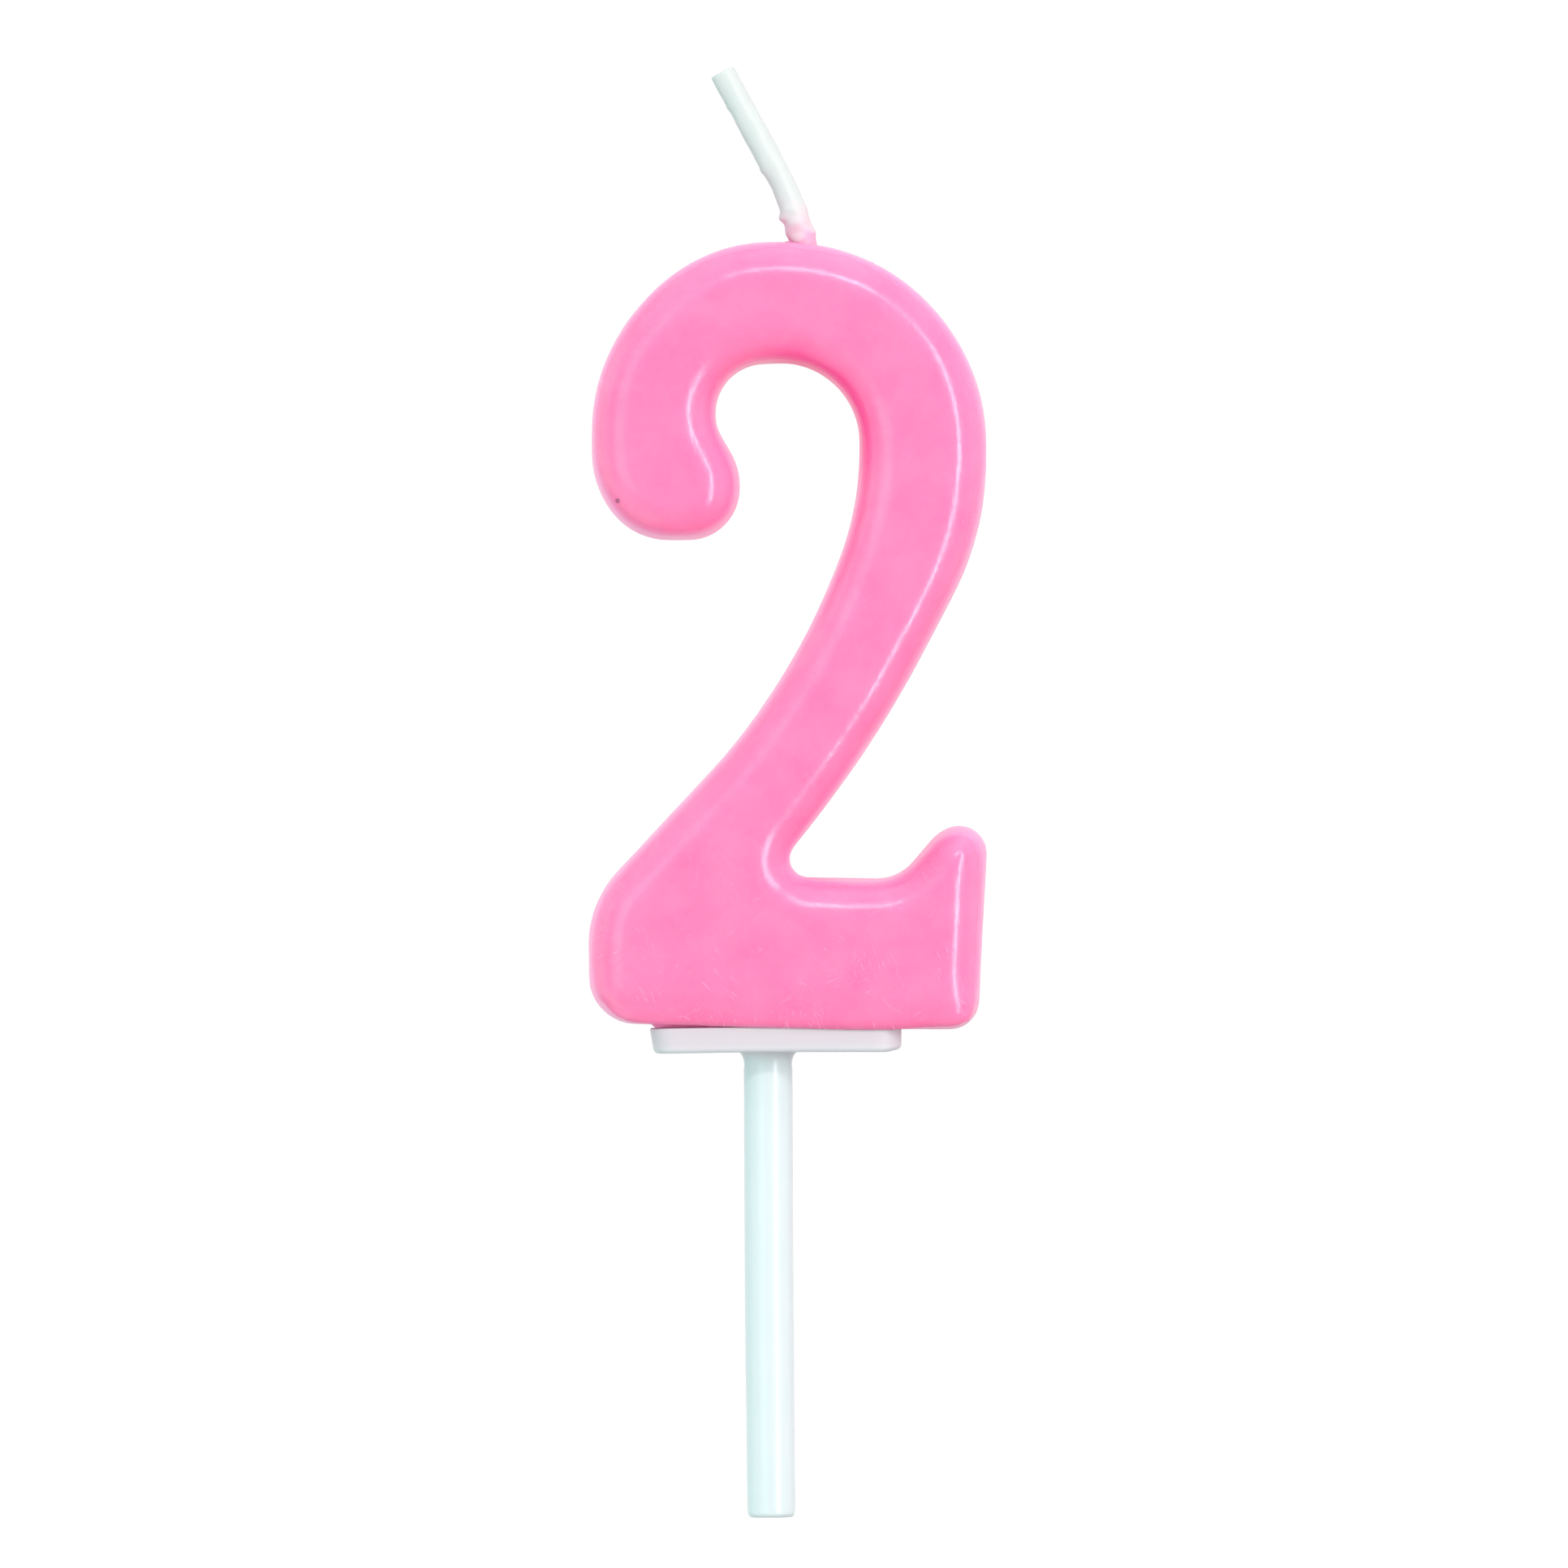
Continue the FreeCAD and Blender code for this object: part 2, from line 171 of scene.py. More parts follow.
@dataclass(frozen=True)
class MouldedParaffin:
    """Dyed paraffin wax cast in a mould.

    Paraffin is translucent, so light goes about a millimetre in and softens every edge.
    The mould leaves a satin skin with thin highlights, and rubbing in the pack leaves
    hairline scratches and a pale bloom, most of it low on the numeral.
    """

    name: str = "paraffin_cast_pink"
    pink: str = "#F87FAB"
    deep: str = "#F674A4"
    # painted light: the walls get a paler pink, for the glow of light through the wax and its
    # sheen at a slant
    wall_painted_glow: str = "#F985B8"
    curl_painted_shade: str = "#F73C92"          # painted shade: a deeper pink inside the curl, whose inner walls lie in shade
    bloom: str = "#F9A9CB"
    dust: str = "#8A3F66"
    ior: float = 1.44
    skin_roughness: float = 0.2
    skin_range: Pair = (-0.08, 0.14)  # how far the mottle changes it
    wall_roughness: float = 0.34      # the mould's walls drag on the wax as it comes out
    scratch_roughness: float = 0.25   # more where it is scratched
    face_end: float = -3.6            # mm, the Y at which the face turns into the walls
    face_turn: float = 1.2            # mm, over which it does so
    curl: Pair = (1.4, 39.0)          # mm, the X and Z of its middle
    curl_reach: float = 4.5           # mm, from its middle to its inner wall
    curl_fade: float = 1.7            # mm, over which the painted shade fades
    curl_side: Pair = (-3.0, 1.0)     # mm, the painted shade is on its right half
    curl_shade_share: float = 0.75          # share of the painted shade
    light_depth: float = 1.2          # mm
    light_spread: tuple[float, float, float] = (1.0, 0.7, 0.85)  # of it, red, green, blue
    mottle_size: float = 3.2          # mm
    dust_radius: float = 0.1          # mm
    scratch_length: float = 0.9       # mm
    scratch_width: float = 0.035      # mm, a little coarser than real ones so they show
    scratch_band: Pair = (6.0, 17.0)  # mm up, where they thin out
    scratch_share: Pair = (0.22, 0.02)  # of them, below it and above it
    scratch_patch: float = 1 / 0.28   # mm, size of a rubbed patch
    scratch_sway: float = 1.2         # mm, how far a scratch wanders
    pore_size: float = 0.35           # mm
    pore_height: float = 0.04         # mm

    def build(self, dust_at: Vector) -> Material:
        """Makes the wax.

        Args:
            dust_at: Where the one speck of dust is pressed in, in metres.

        Returns:
            The material.
        """
        material, tree = new_material(self.name)
        place = add_node(tree, "TexCoord").outputs["Object"]
        sides = add_node(tree, "SeparateXYZ", {0: place})
        flat = add_node(tree, "VectorMath", {0: place, 1: (1.0, 0.0, 1.0)},
                        operation="MULTIPLY").outputs[0]
        wall = add_node(tree, "MapRange", {
            "Value": sides.outputs["Y"], "From Min": self.face_end * MM,
            "From Max": (self.face_end + self.face_turn) * MM},
            interpolation_type="SMOOTHSTEP").outputs[0]
        mottle = add_node(tree, "TexNoise", {
            "Vector": place, "Scale": 1 / (self.mottle_size * MM), "Detail": 4.0,
            "Roughness": 0.6}).outputs[0]
        depth = add_node(tree, "ValToRGB", {0: mottle})
        set_stops(depth, [(0.35, 0.0), (0.68, 1.0)])
        scratches = add_node(tree, "Mix", {
            0: wall, 2: self.scratches(tree, place), 3: 0.0}).outputs[0]
        # the walls' paler pink is painted light, and the curl's deeper pink is painted shade
        layers = [(depth, self.deep), (wall, self.wall_painted_glow),
                  (self.curl_shade_mask(tree, flat, sides.outputs["X"]), self.curl_painted_shade),
                  (scratches, self.bloom), (self.speck(tree, flat, wall, dust_at), self.dust)]
        colour: object = linear(self.pink)
        for share, dye in layers:
            colour = add_node(tree, "Mix", {0: share, 6: colour, 7: linear(dye)},
                              data_type="RGBA").outputs[2]
        rough = add_node(tree, "MapRange", {
            "Value": mottle, "To Min": self.skin_roughness + self.skin_range[0],
            "To Max": self.skin_roughness + self.skin_range[1]}).outputs[0]
        for share, more in ((scratches, self.scratch_roughness),
                            (wall, self.wall_roughness - self.skin_roughness)):
            rough = add_node(tree, "Math", {0: share, 1: more, 2: rough},
                             operation="MULTIPLY_ADD").outputs[0]
        pores = add_node(tree, "TexNoise", {
            "Vector": place, "Scale": 1 / (self.pore_size * MM), "Detail": 2.0})
        relief = add_node(tree, "Math", {
            0: scratches, 1: -0.3, 2: pores}, operation="MULTIPLY_ADD")
        bump = add_node(tree, "Bump", {
            "Height": relief, "Strength": 0.4, "Distance": self.pore_height * MM})
        shader = add_node(tree, "BsdfPrincipled", {
            "Base Color": colour, "Roughness": rough, "Normal": bump,
            "IOR": self.ior, "Subsurface Weight": 0.7,
            "Subsurface Scale": self.light_depth * MM,
            "Subsurface Radius": self.light_spread})
        add_node(tree, "OutputMaterial", {"Surface": shader})
        return material

    def curl_shade_mask(self, tree: NodeTree, flat: NodeSocket, across: NodeSocket) -> NodeSocket:
        """Finds the right half of the curl's inner wall, where shade is painted.

        Args:
            tree: The material's node tree.
            flat: The wax's own coordinates, with no depth.
            across: Its X.

        Returns:
            A socket with the share of the painted shade.
        """
        middle = Vector((self.curl[0], 0.0, self.curl[1])) * MM
        away = add_node(tree, "VectorMath", {0: flat, 1: middle},
                        operation="DISTANCE").outputs["Value"]
        inner = add_node(tree, "MapRange", {
            "Value": away, "From Min": self.curl_reach * MM,
            "From Max": (self.curl_reach + self.curl_fade) * MM,
            "To Min": self.curl_shade_share, "To Max": 0.0}, interpolation_type="SMOOTHSTEP")
        right = add_node(tree, "MapRange", {
            "Value": across, "From Min": (self.curl[0] + self.curl_side[0]) * MM,
            "From Max": (self.curl[0] + self.curl_side[1]) * MM},
            interpolation_type="SMOOTHSTEP")
        return add_node(tree, "Math", {0: inner, 1: right}, operation="MULTIPLY").outputs[0]

    def speck(self, tree: NodeTree, flat: NodeSocket, wall: NodeSocket,
              dust_at: Vector) -> NodeSocket:
        """Draws the speck of dust on the face.

        Args:
            tree: The material's node tree.
            flat: The wax's own coordinates, with no depth.
            wall: From 0 on the face to 1 on the walls.
            dust_at: The speck's place, in metres.

        Returns:
            A socket with the share of dust.
        """
        away = add_node(tree, "VectorMath", {0: flat, 1: dust_at},
                        operation="DISTANCE").outputs["Value"]
        near = add_node(tree, "MapRange", {
            "Value": away, "From Min": self.dust_radius * MM,
            "From Max": 2 * self.dust_radius * MM, "To Min": 0.8, "To Max": 0.0})
        return add_node(tree, "Mix", {0: wall, 2: near, 3: 0.0}).outputs[0]

    def scratches(self, tree: NodeTree, place: NodeSocket) -> NodeSocket:
        """Draws hairline scratches that lie in several directions, thicker low down.

        Args:
            tree: The material's node tree.
            place: The wax's own coordinates.

        Returns:
            A socket from 0, untouched, to 1, scratched.
        """
        sway = add_node(tree, "TexNoise", {"Vector": place, "Scale": 0.25 / MM})
        swayed = add_node(tree, "VectorMath", {
            0: sway.outputs["Color"], 1: (self.scratch_sway * MM,) * 3, 2: place},
            operation="MULTIPLY_ADD").outputs[0]
        total: object = 0.0
        for turn, kept_from in ((0.5, 0.63), (-0.7, 0.62), (1.9, 0.63)):
            turned = add_node(tree, "Mapping", {
                "Vector": swayed, "Rotation": (0.0, turn, 0.0), "Location": (turn,) * 3})
            drawn = add_node(tree, "Mapping", {
                "Vector": turned, "Scale": (
                    1 / (self.scratch_length * MM), 0.4 / MM,
                    1 / (self.scratch_width * 4 * MM))})
            hairs = add_node(tree, "TexNoise", {"Vector": drawn, "Scale": 1.0, "Detail": 1.0})
            kept = add_node(tree, "MapRange", {
                "Value": hairs, "From Min": kept_from, "From Max": kept_from + 0.12})
            patches = add_node(tree, "TexNoise", {
                "Vector": turned, "Scale": 1 / (self.scratch_patch * MM), "Detail": 1.0})
            patch = add_node(tree, "MapRange", {
                "Value": patches, "From Min": 0.5, "From Max": 0.6})
            rubbed = add_node(tree, "Math", {0: kept, 1: patch}, operation="MULTIPLY")
            total = add_node(tree, "Math", {0: rubbed, 1: total},
                             operation="MAXIMUM").outputs[0]
        height = add_node(tree, "SeparateXYZ", {0: place}).outputs["Z"]
        low = add_node(tree, "MapRange", {
            "Value": height, "From Min": self.scratch_band[0] * MM,
            "From Max": self.scratch_band[1] * MM, "To Min": self.scratch_share[0],
            "To Max": self.scratch_share[1]})
        return add_node(tree, "Math", {0: total, 1: low}, operation="MULTIPLY").outputs[0]


@dataclass(frozen=True)
class MouldedPolypropylene:
    """White polypropylene, injection moulded.

    Natural polypropylene is milky and a little cold in colour, and its thin stem glows
    where light passes through it. The mould's polish leaves a soft gloss, broken by faint
    flow lines along the stem.
    """

    name: str = "polypropylene_moulded_white"
    white: str = "#CDD2D4"
    cool: str = "#C7D0D2"
    painted_wax_bounce: str = "#C4BBC1"         # painted pink reflection of the wax, and a darker tone, from the plate up
    tint_band: Pair = (-0.6, 0.5)     # mm, Z over which the painted tint comes in
    plate_roughness: float = 0.2       # more from the plate up
    ior: float = 1.49
    gloss_range: Pair = (0.24, 0.4)
    light_depth: float = 1.2          # mm
    cloud_size: float = 4.0           # mm
    flow_width: float = 0.22          # mm
    flow_length: float = 1 / 0.12     # mm
    flow_height: float = 0.03         # mm

    def build(self) -> Material:
        """Makes the plastic.

        Returns:
            The material.
        """
        material, tree = new_material(self.name)
        place = add_node(tree, "TexCoord").outputs["Object"]
        cloud = add_node(tree, "TexNoise", {
            "Vector": place, "Scale": 1 / (self.cloud_size * MM), "Detail": 3.0})
        height = add_node(tree, "SeparateXYZ", {0: place}).outputs["Z"]
        # from the plate up: painted pink reflection of the wax and a darker tone, and more
        # roughness
        tint_share = add_node(tree, "MapRange", {
            "Value": height, "From Min": self.tint_band[0] * MM,
            "From Max": self.tint_band[1] * MM}).outputs[0]
        colour: object = linear(self.white)
        for share, tint in ((cloud, self.cool), (tint_share, self.painted_wax_bounce)):
            colour = add_node(tree, "Mix", {0: share, 6: colour, 7: linear(tint)},
                              data_type="RGBA").outputs[2]
        thin, long = 1 / (self.flow_width * MM), 1 / (self.flow_length * MM)
        drawn = add_node(tree, "Mapping", {
            "Vector": place, "Scale": (thin, thin, long)})
        flow = add_node(tree, "TexNoise", {
            "Vector": drawn, "Scale": 1.0, "Detail": 2.0}).outputs[0]
        rough = add_node(tree, "MapRange", {
            "Value": flow, "To Min": self.gloss_range[0], "To Max": self.gloss_range[1]})
        matt = add_node(tree, "Math", {
            0: tint_share, 1: self.plate_roughness, 2: rough}, operation="MULTIPLY_ADD")
        bump = add_node(tree, "Bump", {
            "Height": flow, "Strength": 0.12, "Distance": self.flow_height * MM})
        shader = add_node(tree, "BsdfPrincipled", {
            "Base Color": colour, "Roughness": matt, "Normal": bump,
            "IOR": self.ior, "Subsurface Weight": 0.3,
            "Subsurface Scale": self.light_depth * MM, "Subsurface Radius": (0.8, 1.0, 1.0)})
        add_node(tree, "OutputMaterial", {"Surface": shader})
        return material


@dataclass(frozen=True)
class PrimingWax:
    """White wax that the cotton was dipped in, stained by the numeral at its root.

    The dip leaves a dull waxy skin through which the braid shows as shallow slanting
    ridges. The first millimetres above the numeral took up some of its dye.
    """

    name: str = "priming_wax_dipped"
    white: str = "#C3C6C5"
    cool: str = "#BEC5C2"
    blush: str = "#D2B3BF"
    stain: str = "#DA9BB6"
    stain_band: Pair = (1.2, 7.2)     # mm above the wax, stained to white
    stain_wander: float = 2.4         # mm, how unevenly the dye crept up
    ior: float = 1.44
    skin_roughness: float = 0.42
    patch_size: float = 1 / 0.8       # mm
    grain_size: float = 1 / 1.8       # mm
    strand_scale: float = 0.36        # shows a strand every 0.87 mm
    light_depth: float = 0.3          # mm
    grain_height: float = 0.06        # mm

    def build(self) -> Material:
        """Makes the wax. It reads how far each point is above the numeral, in mm.

        Returns:
            The material.
        """
        material, tree = new_material(self.name)
        above = add_node(tree, "Attribute", attribute_name="above_wax")
        unrolled = add_node(tree, "UVMap", uv_map="unrolled").outputs[0]
        patches = add_node(tree, "TexNoise", {
            "Vector": unrolled, "Scale": 1 / self.patch_size, "Detail": 1.0}).outputs[0]
        wander = add_node(tree, "Math", {
            0: patches, 1: self.stain_wander, 2: above.outputs["Fac"]},
            operation="MULTIPLY_ADD")
        shade = add_node(tree, "MapRange", {
            "Value": wander, "From Min": self.stain_band[0],
            "From Max": self.stain_band[1]}).outputs[0]
        dyed = add_node(tree, "ValToRGB", {0: shade})
        set_stops(dyed, [(0.0, linear(self.stain)), (0.06, linear(self.blush)),
                         (0.45, linear(self.white)), (1.0, linear(self.white))])
        cooled = add_node(tree, "Mix", {
            0: patches, 6: dyed, 7: linear(self.cool)}, data_type="RGBA")
        colour = add_node(tree, "Mix", {
            0: shade, 6: dyed, 7: cooled.outputs[2]}, data_type="RGBA")
        shader = add_node(tree, "BsdfPrincipled", {
            "Base Color": colour.outputs[2], "Roughness": self.skin_roughness,
            "Normal": self.relief(tree, unrolled), "IOR": self.ior,
            "Subsurface Weight": 0.1, "Subsurface Scale": self.light_depth * MM,
            "Subsurface Radius": (1.0, 0.9, 0.9)})
        add_node(tree, "OutputMaterial", {"Surface": shader})
        return material

    def relief(self, tree: NodeTree, unrolled: NodeSocket) -> NodeSocket:
        """Shows the braid's slant through the skin, and the skin's own grain.

        Args:
            tree: The material's node tree.
            unrolled: The wick's surface laid flat, in mm.

        Returns:
            The socket of the bent normal.
        """
        slanted = add_node(tree, "Mapping", {
            "Vector": unrolled, "Rotation": (0.0, 0.0, 0.6)})
        strands = add_node(tree, "TexWave", {
            "Vector": slanted, "Scale": self.strand_scale, "Distortion": 1.5,
            "Detail": 1.0}, bands_direction="Y")
        grain = add_node(tree, "TexNoise", {
            "Vector": unrolled, "Scale": 1 / self.grain_size, "Detail": 1.0})
        height = add_node(tree, "Math", {
            0: strands.outputs["Fac"], 1: 0.6, 2: grain},
            operation="MULTIPLY_ADD")
        return add_node(tree, "Bump", {
            "Height": height, "Strength": 0.14,
            "Distance": self.grain_height * MM}).outputs[0]


@dataclass(frozen=True)
class BraidedCotton:
    """Bleached cotton yarn, plied and braided, as cut.

    Cotton is matt and off-white, and its plies show as fine slanting threads.
    """

    name: str = "cotton_braided_bleached"
    white: str = "#F2F1EC"
    shade: str = "#D9D8D0"
    roughness: float = 0.85
    thread_width: float = 0.09        # mm
    thread_height: float = 0.02       # mm

    def build(self) -> Material:
        """Makes the yarn.

        Returns:
            The material.
        """
        material, tree = new_material(self.name)
        unrolled = add_node(tree, "UVMap", uv_map="unrolled").outputs[0]
        slanted = add_node(tree, "Mapping", {
            "Vector": unrolled, "Rotation": (0.0, 0.0, 0.8)})
        threads = add_node(tree, "TexWave", {
            "Vector": slanted, "Scale": 0.16 / self.thread_width,
            "Distortion": 0.8, "Detail": 1.0}).outputs["Fac"]
        colour = add_node(tree, "Mix", {
            0: threads, 6: linear(self.shade), 7: linear(self.white)}, data_type="RGBA")
        bump = add_node(tree, "Bump", {
            "Height": threads, "Strength": 0.5, "Distance": self.thread_height * MM})
        shader = add_node(tree, "BsdfPrincipled", {
            "Base Color": colour.outputs[2], "Roughness": self.roughness,
            "Normal": bump, "Sheen Weight": 0.3})
        add_node(tree, "OutputMaterial", {"Surface": shader})
        return material


@dataclass(frozen=True)
class PaintedBoard:
    """The matt white board that the candle is shown over."""

    name: str = "board_painted_white"
    white: str = "#FDFDFD"
    speckle: str = "#F9F9F9"
    roughness: float = 0.9
    glow: float = 0.12                # of white, so that the board is as pale as the room

    def build(self) -> Material:
        """Makes the paint.

        Returns:
            The material.
        """
        material, tree = new_material(self.name)
        place = add_node(tree, "TexCoord").outputs["Object"]
        grain = add_node(tree, "TexNoise", {"Vector": place, "Scale": 40.0})
        colour = add_node(tree, "Mix", {
            0: grain, 6: linear(self.white), 7: linear(self.speckle)},
            data_type="RGBA")
        shader = add_node(tree, "BsdfPrincipled", {
            "Base Color": colour.outputs[2], "Roughness": self.roughness,
            "Emission Color": linear(self.white), "Emission Strength": self.glow})
        add_node(tree, "OutputMaterial", {"Surface": shader})
        return material


# ---- meshes ----

def make_object(name: str, points: Points, faces: list | Points, material: Material) -> Object:
    """Makes a smooth-shaded mesh object from points in millimetres.

    Args:
        name: The piece's name.
        points: One row for each vertex.
        faces: The vertex numbers round each face.
        material: Its finish.

    Returns:
        The object, in metres and linked to the scene.
    """
    mesh = bpy.data.meshes.new(name)
    rows = faces.tolist() if isinstance(faces, np.ndarray) else faces
    mesh.from_pydata((np.asarray(points) * MM).tolist(), [], rows)
    mesh.validate()
    mesh.shade_smooth()
    mesh.materials.append(material)
    made = bpy.data.objects.new(name, mesh)
    bpy.context.scene.collection.objects.link(made)
    return made


def mesh_arrays(mesh: Mesh) -> tuple[Points, np.ndarray]:
    """Reads a mesh's points and edges.

    Args:
        mesh: Any mesh.

    Returns:
        The vertices' places, and the two vertex numbers of each edge.
    """
    points = np.zeros(len(mesh.vertices) * 3)
    mesh.vertices.foreach_get("co", points)
    edges = np.zeros(len(mesh.edges) * 2, int)
    mesh.edges.foreach_get("vertices", edges)
    return points.reshape(-1, 3), edges.reshape(-1, 2)


def mesh_normals(mesh: Mesh) -> Points:
    """Reads the normal of each vertex."""
    normals = np.zeros(len(mesh.vertices) * 3)
    mesh.vertices.foreach_get("normal", normals)
    return normals.reshape(-1, 3)


def relax(points: Points, edges: np.ndarray, hold: np.ndarray, rounds: int) -> Points:
    """Moves each point towards the middle of its neighbours, again and again.

    Args:
        points: The vertices' places.
        edges: The mesh's edges.
        hold: For each vertex, from 0, fixed, to 1, free.
        rounds: How many times.

    Returns:
        The new places.
    """
    near = np.bincount(edges.ravel(), minlength=len(points))[:, None]
    moved = points.copy()
    for _ in range(rounds):
        total = np.column_stack([
            np.bincount(edges[:, 0], moved[edges[:, 1], axis], len(moved))
            + np.bincount(edges[:, 1], moved[edges[:, 0], axis], len(moved))
            for axis in range(3)])
        moved += 0.5 * hold[:, None] * (total / near - moved)
    return moved


def ramp(values: np.ndarray, start: float, end: float) -> np.ndarray:
    """Rises smoothly from 0 at start to 1 at end; start may be the larger."""
    share = np.clip((values - start) / (end - start), 0, 1)
    return share * share * (3 - 2 * share)


def waves(points: Points, size: float, shift: float = 0.0) -> np.ndarray:
    """Smooth noise, from about -1 to 1, with swells of that size; shift moves them."""
    moved = points / size + shift
    return np.array([noise.noise(Vector(p)) for p in moved])


def loft(rings: list[Points]) -> tuple[Points, list[list[int]]]:
    """Joins rings of as many points each into one closed skin with a fan at both ends.

    Args:
        rings: The rings in order, each wound anticlockwise seen against the order.

    Returns:
        The points and the faces.
    """
    count = len(rings[0])
    points = np.vstack([*rings, rings[0].mean(0), rings[-1].mean(0)])
    faces = []
    for row in range(len(rings) - 1):
        low, high = row * count, (row + 1) * count
        faces += [[low + i, low + (i + 1) % count, high + (i + 1) % count, high + i]
                  for i in range(count)]
    first, last, top = len(points) - 2, len(points) - 1, (len(rings) - 1) * count
    faces += [[(i + 1) % count, i, first] for i in range(count)]
    faces += [[top + i, top + (i + 1) % count, last] for i in range(count)]
    return points, faces


# ---- the numeral ----

@dataclass
class WaxNumeral:
    """The cast wax numeral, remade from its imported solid.

    The solid gives the outline, the socket for the pick and the channel for the wick. The
    front is relaxed into the soft shoulder that wax takes from a worn mould, its face is
    slightly crowned, and the poured back is dished.
    """

    cell: float = 0.2                 # mm, size of the mesh's squares
    crown: float = 0.6                # mm, how far the face's edge falls
    crown_reach: float = 2.2          # mm
    crown_power: float = 1.35         # 1 would be a straight bevel
    crown_band: Pair = (2.6, 0.4)     # mm behind the face, none to all
    base_crown: float = 0.4           # share of the fall at the base, where it is flatter
    base_band: Pair = (1.0, 4.0)      # mm up, over which it grows to all
    wall_band: float = 1.9            # mm before the back, where the outline is read
    shoulder_band: Pair = (3.4, 2.0)  # mm behind the face, fixed to free
    shoulder_rounds: int = 70
    soft_band: Pair = (2.6, 1.4)      # the same after the face is crowned
    soft_rounds: int = 6
    dish: float = 0.22                # mm, how far the back sinks
    dish_band: Pair = (0.12, 0.02)    # mm from the back, none to all
    rim: Pair = (0.25, 1.35)          # mm in from the outline, round the dish
    swell: float = 0.035              # mm, unevenness of the casting
    swell_size: float = 5.5           # mm
    ripple: float = 0.22              # of the swell
    ripple_size: float = 1.3          # mm
    fullness: float = 0.028           # mm for each mm forward, how full the front is cast
    collar: float = 0.3               # mm, wax drawn up round the wick
    collar_out: float = 0.8           # mm from the wick's middle
    collar_width: float = 0.35        # mm
    collar_right: float = 0.55        # share of it on the wick's right
    collar_room: Pair = (1.2, 2.2)    # mm round the wick, left to the collar
    lip: float = 0.4                  # mm, how far the front of the base comes down
    lip_band: Pair = (2.2, 0.5)       # mm behind the face, none to all
    lip_rise: Pair = (2.4, 0.5)       # mm up, none to all
    lip_beside: float = 0.6           # share of it beside the plate
    seat: float = 1.6                 # mm, top of the plate that the wax was cast against
    seat_middle: float = 0.5          # mm, the plate's middle
    seat_half: float = 7.6            # mm, a little less than half its length
    seat_depth: float = 3.1           # mm, a little less than half its width
    seat_room: Pair = (0.5, 3.6)      # mm up and mm deep, kept as packed
    socket_room: tuple[float, float, float] = (3.2, 2.05, 10.5)  # mm, half X, half Y, up
    speck: Pair = (2.05, 16.4)        # mm from the left and from the top
    finish: MouldedParaffin = field(default_factory=MouldedParaffin)

    def build(self, solid: Object, root: Vector) -> Object:
        """Makes the numeral and puts it on its body.

        Args:
            solid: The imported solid.
            root: Where the wick leaves the wax, in millimetres.

        Returns:
            The piece.
        """
        mesh = self.remesh(solid)
        points, edges = mesh_arrays(mesh)
        low, high = points.min(0), points.max(0)
        depth = self.depth_in(points, mesh_normals(mesh), high[1])
        free = self.near_face(points, low, self.shoulder_band, 2.0)
        points = relax(points, edges, free, self.shoulder_rounds)
        points = relax(points, edges, np.full(len(points), 0.6), 2)
        points = self.shape(points, depth, low, high)
        free = 0.7 * self.near_face(points, low, self.soft_band, 1.5)
        points = relax(points, edges, free, self.soft_rounds)
        points = self.draw_collar(points, root)
        mesh.vertices.foreach_set("co", points.ravel())
        mesh.update()
        points = self.fill_out(points, mesh_normals(mesh), low, high, root)
        mesh.vertices.foreach_set("co", (points * MM).ravel())
        mesh.update()
        mesh.shade_smooth()
        mesh.materials.clear()
        speck = Vector((low[0] + self.speck[0], 0.0, high[2] - self.speck[1])) * MM
        mesh.materials.append(self.finish.build(speck))
        made = bpy.data.objects.new("numeral_wax", mesh)
        bpy.context.scene.collection.objects.link(made)
        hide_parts("numeral_body")
        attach(made, Body.NUMERAL.value)
        return made

    def remesh(self, solid: Object) -> Mesh:
        """Copies the solid's mesh as even squares, in millimetres.

        Args:
            solid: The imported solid.

        Returns:
            The new mesh.
        """
        copy = bpy.data.objects.new("remeshing", solid.data.copy())
        copy.data.transform(Matrix.Scale(1 / MM, 4))
        bpy.context.scene.collection.objects.link(copy)
        squares = copy.modifiers.new("squares", "REMESH")
        squares.mode = "VOXEL"
        squares.voxel_size = self.cell
        bpy.context.view_layer.update()
        seen = copy.evaluated_get(bpy.context.evaluated_depsgraph_get())
        mesh = bpy.data.meshes.new_from_object(seen)
        mesh.name = "numeral_wax"
        bpy.data.objects.remove(copy)
        return mesh

    def near_face(self, points: Points, low: Points, band: Pair, rise: float) -> np.ndarray:
        """Finds how near the face each point is. The lowest half millimetre counts as far.

        Args:
            points: The vertices' places.
            low: The lowest corner of the solid's box.
            band: How far behind the face 0 and 1 are.
            rise: How far up it is whole.

        Returns:
            From 0, far, to 1, near.
        """
        return ramp(points[:, 1] - low[1], *band) * ramp(points[:, 2] - low[2], 0.5, rise)

    def depth_in(self, points: Points, normals: Points, back: float) -> np.ndarray:
        """Measures how far each point is inside the outline, seen from the front.

        Args:
            points: The vertices' places.
            normals: Their normals.
            back: The back's Y.

        Returns:
            The distance for each point, in millimetres.
        """
        wall = (points[:, 1] > back - self.wall_band) & (np.abs(normals[:, 1]) < 0.4)
        tree = kdtree.KDTree(int(wall.sum()))
        for number, point in enumerate(points[wall]):
            tree.insert((point[0], 0.0, point[2]), number)
        tree.balance()
        return np.array([tree.find((p[0], 0.0, p[2]))[2] for p in points])

